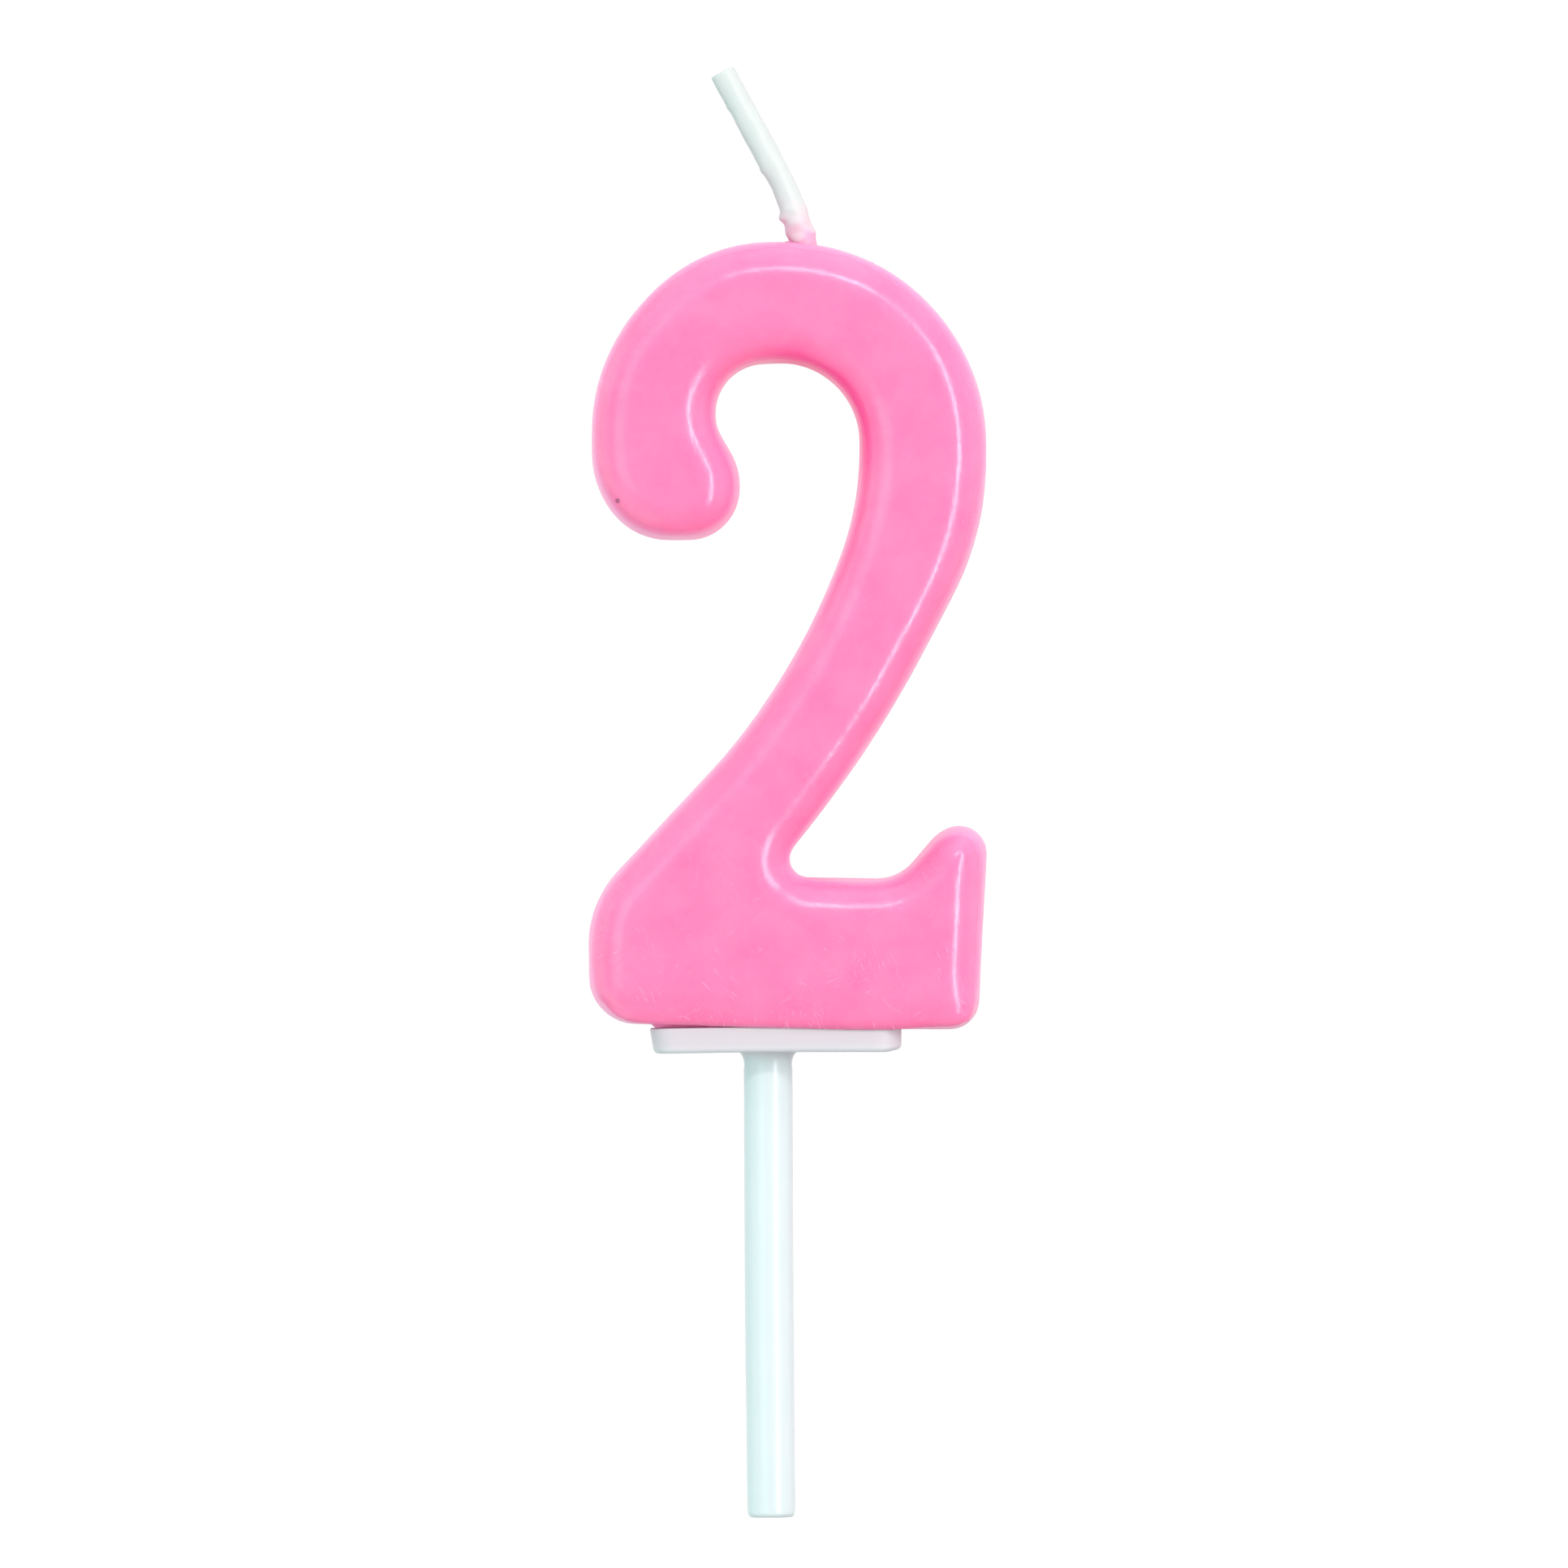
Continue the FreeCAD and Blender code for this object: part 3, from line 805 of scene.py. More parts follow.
    def shape(self, points: Points, depth: np.ndarray, low: Points, high: Points) -> Points:
        """Crowns the face and dishes the back.

        Args:
            points: The vertices' places.
            depth: How far each is inside the outline.
            low: The lowest corner of the solid's box.
            high: The highest corner.

        Returns:
            The new places.
        """
        behind, rise = points[:, 1] - low[1], points[:, 2] - low[2]
        near = np.clip(1 - depth / self.crown_reach, 0, 1)
        fall = self.crown * near ** self.crown_power * ramp(behind, *self.crown_band)
        fall *= self.base_crown + (1 - self.base_crown) * ramp(rise, *self.base_band)
        sink = self.dish * ramp(depth, *self.rim)
        sink *= ramp(high[1] - points[:, 1], *self.dish_band)
        beside = np.abs(points[:, 0] - self.seat_middle) - self.seat_half
        lip = self.lip * ramp(behind, *self.lip_band) * ramp(rise, *self.lip_rise)
        lip *= self.lip_beside + (1 - self.lip_beside) * ramp(beside, 3.0, -1.0)
        points = points.copy()
        points[:, 1] += fall - sink
        points[:, 2] -= lip
        under = (points[:, 2] < low[2] + 0.6) & (beside < 0)
        under &= np.abs(points[:, 1]) < self.seat_depth
        points[under, 2] = np.minimum(points[under, 2], self.seat)
        return points

    def draw_collar(self, points: Points, root: Vector) -> Points:
        """Draws the wax up a little round the wick, more on its left.

        Args:
            points: The vertices' places.
            root: Where the wick leaves the wax.

        Returns:
            The new places.
        """
        across = points[:, 0] - root.x
        out = np.hypot(across, points[:, 1])
        near = np.exp(-((out - self.collar_out) / self.collar_width) ** 2)
        near *= points[:, 2] > root.z - 0.8
        points = points.copy()
        points[:, 2] += self.collar * near * np.where(across < 0, 1.0, self.collar_right)
        return points

    def fill_out(self, points: Points, normals: Points, low: Points, high: Points,
                 root: Vector) -> Points:
        """Fills out the front, and gives the casting its slow swells and fine ripples.

        Args:
            points: The vertices' places.
            normals: Their normals.
            low: The lowest corner of the solid's box.
            high: The highest corner.
            root: Where the wick leaves the wax.

        Returns:
            The new places.
        """
        free = self.untouched(points, low)
        fuller = free * (high[1] - points[:, 1]) * self.fullness
        fuller *= ramp(np.hypot(points[:, 0] - root.x, points[:, 1]), *self.collar_room)
        points = points.copy()
        points[:, 0] += normals[:, 0] * fuller
        points[:, 2] += normals[:, 2] * fuller * (points[:, 2] > low[2] + 2.0)
        uneven = waves(points, self.swell_size)
        uneven += self.ripple * waves(points, self.ripple_size, 7.0)
        return points + normals * (free * self.swell * uneven)[:, None]

    def untouched(self, points: Points, low: Points) -> np.ndarray:
        """Finds the outer surface, which may move; the socket and the seat may not.

        Args:
            points: The vertices' places.
            low: The lowest corner of the solid's box.

        Returns:
            1 for a vertex that may move and 0 for one that may not.
        """
        rise, deep = points[:, 2] - low[2], np.abs(points[:, 1])
        seat = (rise < self.seat_room[0]) & (deep < self.seat_room[1])
        inside = (deep < self.socket_room[1]) & (rise < self.socket_room[2])
        inside &= np.abs(points[:, 0]) < self.socket_room[0]
        return np.where(seat | inside, 0.0, 1.0)


# ---- the pick ----

def quarter_round(steps: int) -> list[Pair]:
    """Steps round a quarter circle of radius 1, from (1, 0) to (0, 1).

    Args:
        steps: How many points it has.

    Returns:
        What is left to go, and what has been gone, at each step.
    """
    turns = [math.pi / 2 * step / (steps - 1) for step in range(steps)]
    return [(1 - math.sin(turn), 1 - math.cos(turn)) for turn in turns]


class PlateEnd(Enum):
    """The two short ends of the plate, by the side each is on."""

    LEFT = -1
    RIGHT = 1


@dataclass
class PlasticPick:
    """The moulded pick: stem, plate and the cross-shaped tang in the wax, in millimetres."""

    stem_radius: float = 1.5
    stem_end: float = -29.4
    tip_round: float = 0.3
    root_width: float = 0.41          # the root's flare is taller than it is wide
    root_rise: float = 0.9
    plate_half_length: float = 7.95
    plate_half_width: float = 3.3
    plate_thickness: float = 1.6
    plate_offset: float = 0.5
    plate_corner: float = 1.5
    plate_edge: float = 0.3           # round of its lower edge
    plate_crisp_edge: float = 0.12    # round of its upper edge, where the mould closed
    tang_top: float = 10.8
    tang_root: tuple[float, float, float] = (2.8, 1.9, 0.7)
    tang_tip: tuple[float, float, float] = (1.6, 1.1, 0.4)
    seam: float = 0.035               # height of the mould's parting line
    seam_width: float = 0.07
    gate: float = 0.22                # height of the gate's stub on the plate's back
    gate_across: float = 2.6          # from the plate's middle
    gate_half: Pair = (0.55, 0.38)    # half its length and height
    leans: tuple[tuple[PlateEnd, float], ...] = ((PlateEnd.LEFT, 0.27),
                                                 (PlateEnd.RIGHT, 0.04))
    lean_reach: Pair = (2.2, 0.2)     # from the end, none to all
    chamfer: float = 0.18             # under the plate's right end
    chamfer_size: Pair = (1.1, 0.7)   # its length and height
    bow: float = 0.05                 # how far the plate's ends droop
    bow_band: Pair = (2.4, 4.0)       # from the stem, none to all
    stem_sway: float = 0.03           # how far from straight the stem is
    count: int = 192                  # points round each ring
    finish: MouldedPolypropylene = field(default_factory=MouldedPolypropylene)

    def build(self) -> Object:
        """Makes the pick and puts it on its body.

        Returns:
            The piece.
        """
        rings = [*self.stem_rings(), *self.plate_rings(), *self.tang_rings()]
        points, faces = loft(rings)
        points = self.dress_plate(points)
        points = self.dress_seam(points)
        made = make_object("pick_moulding", points, faces, self.finish.build())
        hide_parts("pick")
        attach(made, Body.PICK.value)
        return made

    def angles(self) -> np.ndarray:
        """The direction of each point of a ring from the ring's middle."""
        return np.arange(self.count) * 2 * math.pi / self.count

    def ring(self, reach: np.ndarray | float, level: float, offset: float = 0.0) -> Points:
        """Lays out one ring.

        Args:
            reach: Distance from the middle, one number or one for each direction.
            level: The ring's Z.
            offset: The middle's X.

        Returns:
            The ring's points.
        """
        turn = self.angles()
        reach = np.broadcast_to(reach, turn.shape)
        return np.column_stack([offset + reach * np.cos(turn), reach * np.sin(turn),
                                np.full(self.count, level)])

    def box_reach(self, half_x: float, half_y: float, corner: float) -> np.ndarray:
        """Distance from the middle to a rounded rectangle, in each direction.

        Args:
            half_x: Half its length.
            half_y: Half its width.
            corner: The radius of its corners.

        Returns:
            The distances.
        """
        turn = self.angles()
        c, s = np.abs(np.cos(turn)) + 1e-9, np.abs(np.sin(turn)) + 1e-9
        reach = np.minimum(half_x / c, half_y / s)
        inner_x, inner_y = half_x - corner, half_y - corner
        along = c * inner_x + s * inner_y
        square = along ** 2 - inner_x ** 2 - inner_y ** 2 + corner ** 2
        curved = (reach * c > inner_x) & (reach * s > inner_y)
        return np.where(curved, along + np.sqrt(np.maximum(square, 0)), reach)

    def cross_reach(self, arms: tuple[float, float, float]) -> np.ndarray:
        """Distance from the middle to a cross of ribs, in each direction.

        Args:
            arms: Half the long rib, half the short one, and half a rib's thickness.

        Returns:
            The distances.
        """
        turn = self.angles()
        c, s = np.abs(np.cos(turn)) + 1e-9, np.abs(np.sin(turn)) + 1e-9
        long, short, half = arms
        return np.maximum(np.minimum(long / c, half / s), np.minimum(half / c, short / s))

    def stem_rings(self) -> list[Points]:
        """The stem from its blunt end up to the flare under the plate."""
        end, curve = self.stem_end, self.tip_round
        radii = [(self.stem_radius * share, end) for share in (0.2, 0.45, 0.65)]
        radii += [(self.stem_radius - curve * inward, end + curve * upward)
                  for inward, upward in quarter_round(7)]
        radii += [(self.stem_radius, level) for level
                  in np.linspace(end + curve + 0.3, -self.root_rise - 0.1, 60)]
        radii += [(self.stem_radius + self.root_width * outward, -self.root_rise * below)
                  for below, outward in quarter_round(11)]
        return [self.ring(radius, level) for radius, level in radii]

    def plate_rings(self) -> list[Points]:
        """The plate: its underside, rounded edge, side and top."""
        edge, crisp, top = self.plate_edge, self.plate_crisp_edge, self.plate_thickness
        rings = []
        flare = self.stem_radius + self.root_width

        def outline(inset: float, level: float) -> Points:
            """One ring of the plate, drawn in by inset at that level."""
            reach = self.box_reach(self.plate_half_length - inset,
                                   self.plate_half_width - inset,
                                   max(self.plate_corner - inset, 0.3))
            return self.ring(reach, level, self.plate_offset)

        under = outline(edge, 0.0)
        start = self.ring(flare, 0.0)
        rings += [start + (under - start) * share for share in (0.1, 0.3, 0.55, 0.8, 0.94)]
        rings += [outline(edge * inward, edge * upward)
                  for inward, upward in quarter_round(7)]
        rings += [outline(0.0, level) for level in np.linspace(edge + 0.1, top - crisp - 0.1, 7)]
        rings += [outline(crisp * inward, top - crisp * below)
                  for below, inward in quarter_round(7)]
        over = rings[-1]
        tang = self.ring(self.cross_reach(self.tang_root), top)
        rings += [over + (tang - over) * share for share in (0.1, 0.35, 0.65, 0.9, 0.98)]
        return rings

    def tang_rings(self) -> list[Points]:
        """The tapered cross of ribs, with its rounded top."""
        rings = []
        base = self.plate_thickness
        rise = self.tang_top - base
        for share in [*np.linspace(0.004, 0.97, 26), 0.985, 0.995, 1.0]:
            arms = tuple(a + (b - a) * share
                         for a, b in zip(self.tang_root, self.tang_tip))
            inset = 0.25 * max(0.0, (share - 0.97) / 0.03) ** 2
            arms = (arms[0] - inset, arms[1] - inset, max(arms[2] - inset * 0.7, 0.15))
            rings.append(self.ring(self.cross_reach(arms), base + rise * share))
        rings.append(rings[-1] * [0.5, 0.5, 1.0])
        return rings

    def dress_plate(self, points: Points) -> Points:
        """Gives the plate the ends that it has: one leans, the other is chamfered.

        Args:
            points: The pick's points.

        Returns:
            The new places.
        """
        points = points.copy()
        x, y, z = points.T
        on_plate = (z > -0.01) & (z < self.plate_thickness + 0.01)
        for end, lean in self.leans:
            tip = self.plate_offset + end.value * self.plate_half_length
            near = ramp(np.abs(x - tip), *self.lean_reach) * on_plate
            points[:, 0] -= end.value * lean * near * (1 - z / self.plate_thickness)
        right = self.plate_offset + self.plate_half_length
        length, height = self.chamfer_size
        cut = self.chamfer * ramp(x, right - length, right) * ramp(z, height, 0.0)
        points[:, 2] += cut * on_plate
        bow = self.bow * ((x - self.plate_offset) / self.plate_half_length) ** 2
        points[:, 2] -= bow * on_plate * ramp(np.abs(x), *self.bow_band)
        return points

    def dress_seam(self, points: Points) -> Points:
        """Adds the parting line up both sides, and the stub where the gate broke off.

        Args:
            points: The pick's points.

        Returns:
            The new places.
        """
        points = points.copy()
        x, y, z = points.T
        stem = (z < -self.root_rise) & (z > self.stem_end + self.tip_round)
        ridge = np.exp(-(y / self.seam_width) ** 2) * stem
        ridge *= np.hypot(x, y) > self.stem_radius - 0.05
        points[:, 0] += np.sign(x) * self.seam * ridge
        along = (x - self.plate_offset - self.gate_across) / self.gate_half[0]
        up = (z - self.plate_thickness / 2) / self.gate_half[1]
        stub = np.exp(-along ** 4 - up ** 4)
        points[:, 1] += self.gate * stub * (y > self.plate_half_width - 0.1)
        points[:, 0] += self.stem_sway * np.sin((z + 4) / 7.5) * (z < -2)
        return points


# ---- the wick ----

# The wick's route in millimetres, as X and Z: up the middle of the numeral's stroke, out
# at its crown, over at the bend and on to the cut end.
WICK_ROUTE = [
    (0.21, 16.625), (3.31, 21.225), (6.61, 26.625), (9.32, 32.4), (9.62, 38.9),
    (6.62, 44.3), (3.205, 48.351), (2.14, 53.2), (0.25, 56.94), (-2.4, 61.86),
]
WICK_ROOT = Vector((2.5, 0.0, 51.3))  # mm, where the wick leaves the wax
LAST_STRETCH = 47.0                   # mm, the Z above which the route only climbs


@dataclass
class Centreline:
    """The wick's smooth line, with a set of axes at each step."""

    step: float = 0.11                # mm

    def __post_init__(self) -> None:
        """Reads the line from the route's spline and divides it evenly."""
        curve = bpy.data.curves.new("wick_route", "CURVE")
        curve.dimensions = "3D"
        curve.resolution_u = 24
        spline = curve.splines.new("NURBS")
        spline.points.add(len(WICK_ROUTE) - 1)
        for point, (x, z) in zip(spline.points, WICK_ROUTE):
            point.co = (x * MM, 0.0, z * MM, 1.0)
        spline.order_u = 3
        spline.use_endpoint_u = True
        holder = bpy.data.objects.new("wick_route", curve)
        bpy.context.scene.collection.objects.link(holder)
        bpy.context.view_layer.update()
        seen = holder.evaluated_get(bpy.context.evaluated_depsgraph_get())
        mesh = bpy.data.meshes.new_from_object(seen)
        points, _ = mesh_arrays(mesh)
        bpy.data.objects.remove(holder)
        bpy.data.curves.remove(curve)
        bpy.data.meshes.remove(mesh)
        points = points / MM
        runs = np.linalg.norm(np.diff(points, axis=0), axis=1)
        along = np.concatenate([[0], np.cumsum(runs)])
        self.length = float(along[-1])
        self.along = np.linspace(0, self.length, round(self.length / self.step) + 1)
        self.points = np.column_stack([np.interp(self.along, along, points[:, axis])
                                       for axis in range(3)])
        ahead = np.gradient(self.points, axis=0)
        self.ahead = ahead / np.linalg.norm(ahead, axis=1)[:, None]
        self.front = np.tile([0.0, -1.0, 0.0], (len(self.points), 1))
        self.left = np.cross(self.front, self.ahead)

    def level(self, height: float) -> float:
        """The distance along the line at which it reaches a height on its last stretch."""
        upper = self.points[:, 2] > LAST_STRETCH
        return float(np.interp(height, self.points[upper, 2], self.along[upper]))

    def at(self, across: np.ndarray, forward: np.ndarray) -> Points:
        """Points beside the line, one at each step: so far to its left and its front."""
        return self.points + self.left * across[:, None] + self.front * forward[:, None]


@dataclass(frozen=True)
class Lump:
    """A lump or dent in the wick's skin."""

    height: float                     # mm, its Z
    side: float                       # degrees round the wick: 0 left, 90 front, 180 right
    size: float                       # mm it stands out; a dent is negative
    length: float                     # mm along the wick
    width: float                      # degrees round it


@dataclass
class PrimedWick:
    """The braided cotton and its dipped skin, from inside the wax to the cut end."""

    line: Centreline
    skin_radius: float = 0.81         # mm
    cord_radius: float = 0.55         # mm
    strand_radius: float = 0.27       # mm
    braid_pitch: float = 3.1          # mm, one turn of a strand
    bend_reach: float = 2.3           # mm each side of the bend that flex
    pimples: Pair = (0.9, 0.018)      # mm, size and height of its small unevenness
    swells: Pair = (3.1, 0.03)        # mm, size and height of its slow unevenness
    braid_shows: float = 0.012        # mm, how far the braid's ridges show through it
    round_skin: int = 56              # points round each of the skin's rings
    round_strand: int = 12            # and round each of a strand's
    lumps: tuple[Lump, ...] = (
        Lump(52.95, 2, 0.24, 0.3, 45), Lump(51.6, 172, 0.12, 0.32, 50),
        Lump(51.9, 0, 0.1, 0.4, 50), Lump(54.8, 0, -0.05, 0.3, 40),
        Lump(52.4, 85, 0.12, 0.3, 45), Lump(52.95, 172, 0.04, 0.2, 45),
        Lump(55.3, 0, -0.07, 0.6, 50),
        Lump(53.3, 60, 0.08, 0.25, 40), Lump(51.8, 70, -0.08, 0.25, 40),
        Lump(56.0, 5, 0.06, 0.18, 30), Lump(60.0, -2, 0.06, 0.2, 35),
        Lump(53.2, 240, 0.09, 0.4, 60), Lump(51.9, 290, 0.08, 0.4, 60),
    )

    def build(self, hinge: Vector) -> list[Object]:
        """Makes the two pieces of the wick.

        Args:
            hinge: Where the wick bends, in metres.

        Returns:
            The skin and the braid.
        """
        skin = self.build_skin()
        braid = self.build_braid()
        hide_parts("wick_coating_embedded", "wick_coating_tip")
        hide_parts("wick_cord_embedded", "wick_cord_tip")
        middle = self.line.level(hinge.z / MM)
        for piece in (skin, braid):
            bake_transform(piece)
        return [skin, braid]

    def skin_reach(self, turn: np.ndarray) -> np.ndarray:
        """The skin's radius at every step and direction.

        Args:
            turn: The directions round the wick, in radians.

        Returns:
            One row for each step, one column for each direction.
        """
        line = self.line
        rows, columns = np.meshgrid(line.along, turn, indexing="ij")
        flat = np.column_stack([np.cos(columns).ravel() * 0.8, np.sin(columns).ravel() * 0.8,
                                rows.ravel()])
        (small, low), (wide, high) = self.pimples, self.swells
        uneven = waves(flat, small) * low + waves(flat, wide, 5.0) * high
        reach = self.skin_radius + uneven.reshape(rows.shape)
        reach += self.braid_shows * np.cos(columns * 3 - rows * 2 * math.pi / self.braid_pitch)
        for lump in self.lumps:
            away = (np.degrees(columns) - lump.side + 180) % 360 - 180
            reach += lump.size * np.exp(-((rows - line.level(lump.height)) / lump.length) ** 2
                                        - (away / lump.width) ** 2)
        return reach

    def build_skin(self) -> Object:
        """Makes the dipped skin: a tube, open where the cotton was cut.

        Returns:
            The piece.
        """
        line = self.line
        turn = np.arange(self.round_skin) * 2 * math.pi / self.round_skin
        reach = self.skin_reach(turn)
        rings = [self.ring_at(row, reach[row], turn) for row in range(len(line.along))]
        outer = rings[-1]
        middle = outer.mean(0)
        rings += [middle + (outer - middle) * share + line.ahead[-1] * lift
                  for share, lift in ((0.96, 0.07), (0.88, 0.1), (0.76, 0.09), (0.69, 0.02),
                                      (0.68, -0.3))]
        points, faces = loft(rings)
        made = make_object("wick_skin", points, faces, PrimingWax().build())
        self.unroll(made, len(rings), self.round_skin, self.skin_radius)
        above = made.data.attributes.new("above_wax", "FLOAT", "POINT")
        start = line.level(WICK_ROOT.z)
        values = np.repeat([*line.along, *[line.length] * 5], self.round_skin) - start
        values = np.concatenate([values, [-start, line.length - start]])
        above.data.foreach_set("value", values.astype(np.float32))
        return made

    def ring_at(self, row: int, reach: np.ndarray, turn: np.ndarray) -> Points:
        """One ring round the line; turn goes from its left towards its front."""
        return (self.line.points[row] + np.outer(np.cos(turn) * reach, self.line.left[row])
                + np.outer(np.sin(turn) * reach, self.line.front[row]))

    def unroll(self, piece: Object, rings: int, count: int, radius: float) -> None:
        """Lays a tube's surface flat as a UV map in millimetres.

        Args:
            piece: The tube.
            rings: How many rings it has.
            count: How many points each ring has.
            radius: The tube's radius.
        """
        mesh = piece.data
        layer = mesh.uv_layers.new(name="unrolled")
        corners = np.zeros(len(mesh.loops), int)
        mesh.loops.foreach_get("vertex_index", corners)
        number = np.minimum(corners, rings * count - 1)
        around = (number % count) / count * 2 * math.pi * radius
        along = (number // count) * self.line.step
        layer.data.foreach_set("uv", np.column_stack([around, along]).astype(np.float32)
                               .ravel())

    def build_braid(self) -> Object:
        """Makes the three plied strands, which cross over each other as they run.

        Returns:
            The piece.
        """
        line = self.line
        turn = np.arange(self.round_strand) * 2 * math.pi / self.round_strand
        points, faces, rings = [], [], []
        spread = self.cord_radius - self.strand_radius
        for strand in range(3):
            phase = line.along * 2 * math.pi / self.braid_pitch + strand * 2 * math.pi / 3
            middle = line.at(spread * np.sin(phase), spread * 0.8 * np.sin(2 * phase))
            rings = []
            for row in range(len(line.along)):
                plies = self.strand_radius * (1 + 0.06 * np.cos(4 * turn + phase[row] * 3))
                rings.append(self.ring_at(row, plies, turn) + middle[row] - line.points[row])
            rings.append(rings[-1] + line.ahead[-1] * 0.04)
            tip = rings[-1].mean(0)
            rings.append(tip + (rings[-1] - tip) * 0.75 + line.ahead[-1] * 0.06)
            new_points, new_faces = loft(rings)
            shift = sum(len(p) for p in points)
            faces += [[v + shift for v in face] for face in new_faces]
            points.append(new_points)
        made = make_object("wick_braid", np.vstack(points), faces, BraidedCotton().build())
        self.unroll(made, 3 * (len(rings) + 1), self.round_strand, self.strand_radius)
        return made


# ---- the studio ----

@dataclass(frozen=True)
class SoftLamp:
    """One rectangular soft light, hung round the candle's middle."""

    name: str
    azimuth: float                    # degrees round from the camera towards the right
    elevation: float                  # degrees above level
    distance: float                   # metres
    width: float                      # metres
    height: float                     # metres
    power: float                      # watts
    colour: str = "#FFFFFF"


@dataclass
class Studio:
    """A pale board, soft light and the camera."""

    view_width: float = 99.08 * MM    # what the picture takes in
    aim: Pair = (1.14 * MM, 16.92 * MM)   # X and Z of the picture's middle
    roll: float = 0.42                # degrees
    lens: float = 600.0               # mm
    sensor: float = 36.0              # mm
    floor_radius: float = 0.4         # metres
    room_front: float = 0.4           # light from the room on the camera's side
    room_rear: float = 0.5            # and from behind the candle
    room_screen: float = 0.55         # more light from the white screen straight behind
    room_top: float = 0.5             # more light from the ceiling
    room_below: float = 0.85          # share of the light that comes from below level
    backdrop: float = 1.02            # what the camera sees of the white screen
    middle: float = 20.0 * MM         # the candle's middle, which the lamps face
    board: PaintedBoard = field(default_factory=PaintedBoard)
    lamps: tuple[SoftLamp, ...] = (
        SoftLamp("key_strip", 36, 3, 0.55, 0.026, 0.5, 2.2),
        SoftLamp("front_bar", 8, 36, 0.55, 0.3, 0.032, 1.0),
        SoftLamp("left_fill", -34, 4, 0.6, 0.3, 0.45, 1.0, "#D8FFFA"),
        SoftLamp("left_side", -95, 4, 0.5, 0.5, 0.5, 0.9, "#D8FFFA"),
        SoftLamp("low_left", -70, -45, 0.5, 0.5, 0.5, 0.9, "#E6FFFC"),
        SoftLamp("right_side", 92, 4, 0.5, 0.5, 0.5, 0.5),
        SoftLamp("overhead", 10, 82, 0.6, 0.6, 0.6, 0.8),
    )

    def build(self, floor_level: float) -> None:
        """Makes the floor, the lights, the surroundings and the camera.

        Args:
            floor_level: The Z that the floor lies at.
        """
        self.make_floor(floor_level)
        self.make_world()
        for lamp in self.lamps:
            self.make_light(lamp)
        self.make_camera()
        bpy.context.scene.view_settings.view_transform = "Standard"

    def make_floor(self, level: float) -> None:
        """Lays the round board under the candle.

        Args:
            level: The Z that it lies at.
        """
        turn = np.arange(96) * 2 * math.pi / 96
        rim = np.column_stack([np.cos(turn), np.sin(turn)]) * self.floor_radius / MM
        points = np.column_stack([rim, np.full(len(turn), level / MM)])
        board = make_object("board", points, [list(range(len(turn)))], self.board.build())
        # the board is only looked at: it doesn't colour or shade the candle
        board.visible_diffuse = board.visible_glossy = False
        board.visible_transmission = board.visible_shadow = False

    def make_world(self) -> None:
        """Surrounds the candle with white: brightest behind and above, dimmer below."""
        world = bpy.data.worlds.new("white_room")
        bpy.context.scene.world = world
        world.use_nodes = True
        tree = world.node_tree
        tree.nodes.clear()
        outward = add_node(tree, "TexCoord").outputs["Generated"]
        sides = add_node(tree, "SeparateXYZ", {0: outward})
        fades = [("Y", 0.5, -0.7, self.room_rear, self.room_front),
                 ("Z", 0.1, -0.6, 1.0, self.room_below),
                 ("Z", 0.25, 0.9, 0.0, self.room_top),
                 ("Y", 0.35, 0.9, 0.0, self.room_screen)]
        front, below, above, screen = (
            add_node(tree, "MapRange", {
                "Value": sides.outputs[axis], "From Min": start, "From Max": end,
                "To Min": near, "To Max": far}, interpolation_type="SMOOTHSTEP")
            for axis, start, end, near, far in fades)
        level = add_node(tree, "Math", {0: front, 1: below, 2: above},
                         operation="MULTIPLY_ADD")
        level = add_node(tree, "Math", {0: level, 1: screen}, operation="ADD")
        white = (1.0, 1.0, 1.0, 1.0)
        room = add_node(tree, "Background", {"Color": white, "Strength": level})
        seen = add_node(tree, "Background", {"Color": white, "Strength": self.backdrop})
        direct = add_node(tree, "LightPath").outputs["Is Camera Ray"]
        both = add_node(tree, "MixShader", {0: direct, 1: room, 2: seen})
        add_node(tree, "OutputWorld", {"Surface": both})

    def make_light(self, lamp: SoftLamp) -> None:
        """Hangs one soft light that faces the candle's middle.

        Args:
            lamp: Its place, size, power and colour.
        """
        data = bpy.data.lights.new(lamp.name, "AREA")
        data.shape = "RECTANGLE"
        data.size, data.size_y = lamp.width, lamp.height
        data.energy = lamp.power
        data.color = linear(lamp.colour)[:3]
        held = bpy.data.objects.new(lamp.name, data)
        turn, rise = math.radians(lamp.azimuth), math.radians(lamp.elevation)
        out = Vector((math.sin(turn) * math.cos(rise), -math.cos(turn) * math.cos(rise),
                      math.sin(rise)))
        held.location = Vector((0.0, 0.0, self.middle)) + out * lamp.distance
        held.rotation_mode = "QUATERNION"
        held.rotation_quaternion = (-out).to_track_quat("-Z", "Y")
        held.visible_camera = False
        bpy.context.scene.collection.objects.link(held)

    def make_camera(self) -> None:
        """Sets the camera level with the numeral, square to its face, on a long lens."""
        data = bpy.data.cameras.new("camera")
        data.lens = self.lens
        data.sensor_width = self.sensor
        distance = self.view_width / 2 / (self.sensor / 2 / self.lens)
        data.clip_start, data.clip_end = 0.01, 100.0
        camera = bpy.data.objects.new("camera", data)
        turn = math.radians(self.roll)
        right = Vector((math.cos(turn), 0.0, -math.sin(turn)))
        up = Vector((math.sin(turn), 0.0, math.cos(turn)))
        axes = Matrix((right, up, Vector((0.0, -1.0, 0.0)))).transposed().to_4x4()
        axes.translation = Vector((self.aim[0], -distance, self.aim[1]))
        camera.matrix_world = axes
        bpy.context.scene.collection.objects.link(camera)
        bpy.context.scene.camera = camera


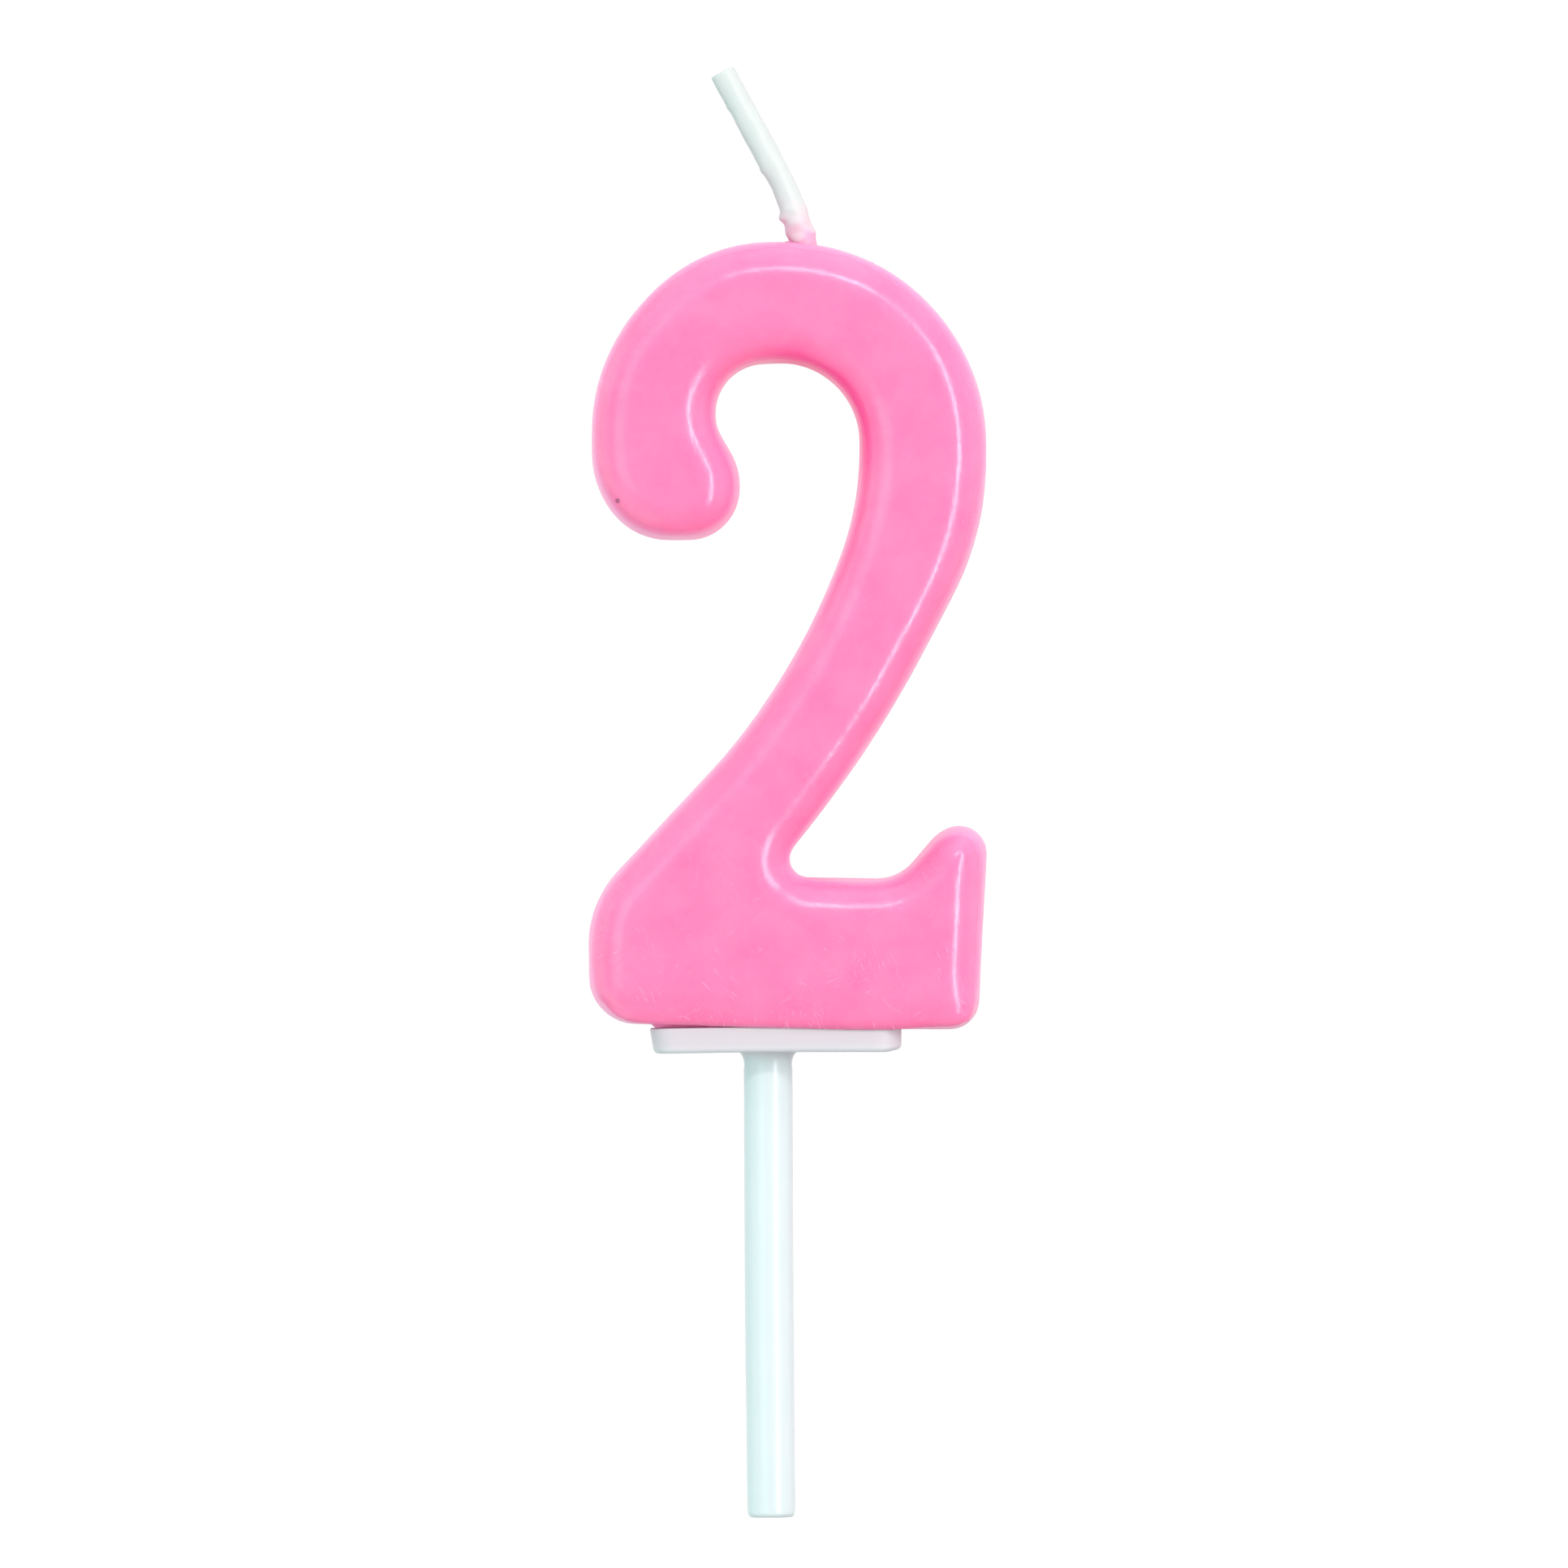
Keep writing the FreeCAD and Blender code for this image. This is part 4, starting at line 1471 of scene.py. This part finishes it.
def report(pieces: list[Object]) -> None:
    """Logs each piece's faces and size.

    Args:
        pieces: The pieces of the candle.
    """
    for piece in pieces:
        size = [round(side / MM, 2) for side in piece.dimensions]
        LOG.info("%s: %d faces, %s mm", piece.name, len(piece.data.polygons), size)


def main() -> None:
    """Builds the candle round the frame, then the studio."""
    logging.basicConfig(level=logging.INFO, format="%(name)s: %(message)s")
    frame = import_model()
    joints = {joint["name"]: joint for joint in frame["joints"]}
    hinge = Vector(joints["wick_bend"]["pos_m"])
    line = Centreline()
    LOG.info("wick: %.1f mm long", line.length)
    numeral = WaxNumeral().build(frame["nodes"]["numeral_body"], WICK_ROOT)
    pick = PlasticPick().build()
    wick = PrimedWick(line).build(hinge)
    report([numeral, pick, *wick])
    Studio().build(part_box("pick")[0].z)


if __name__ == "__main__":
    main()
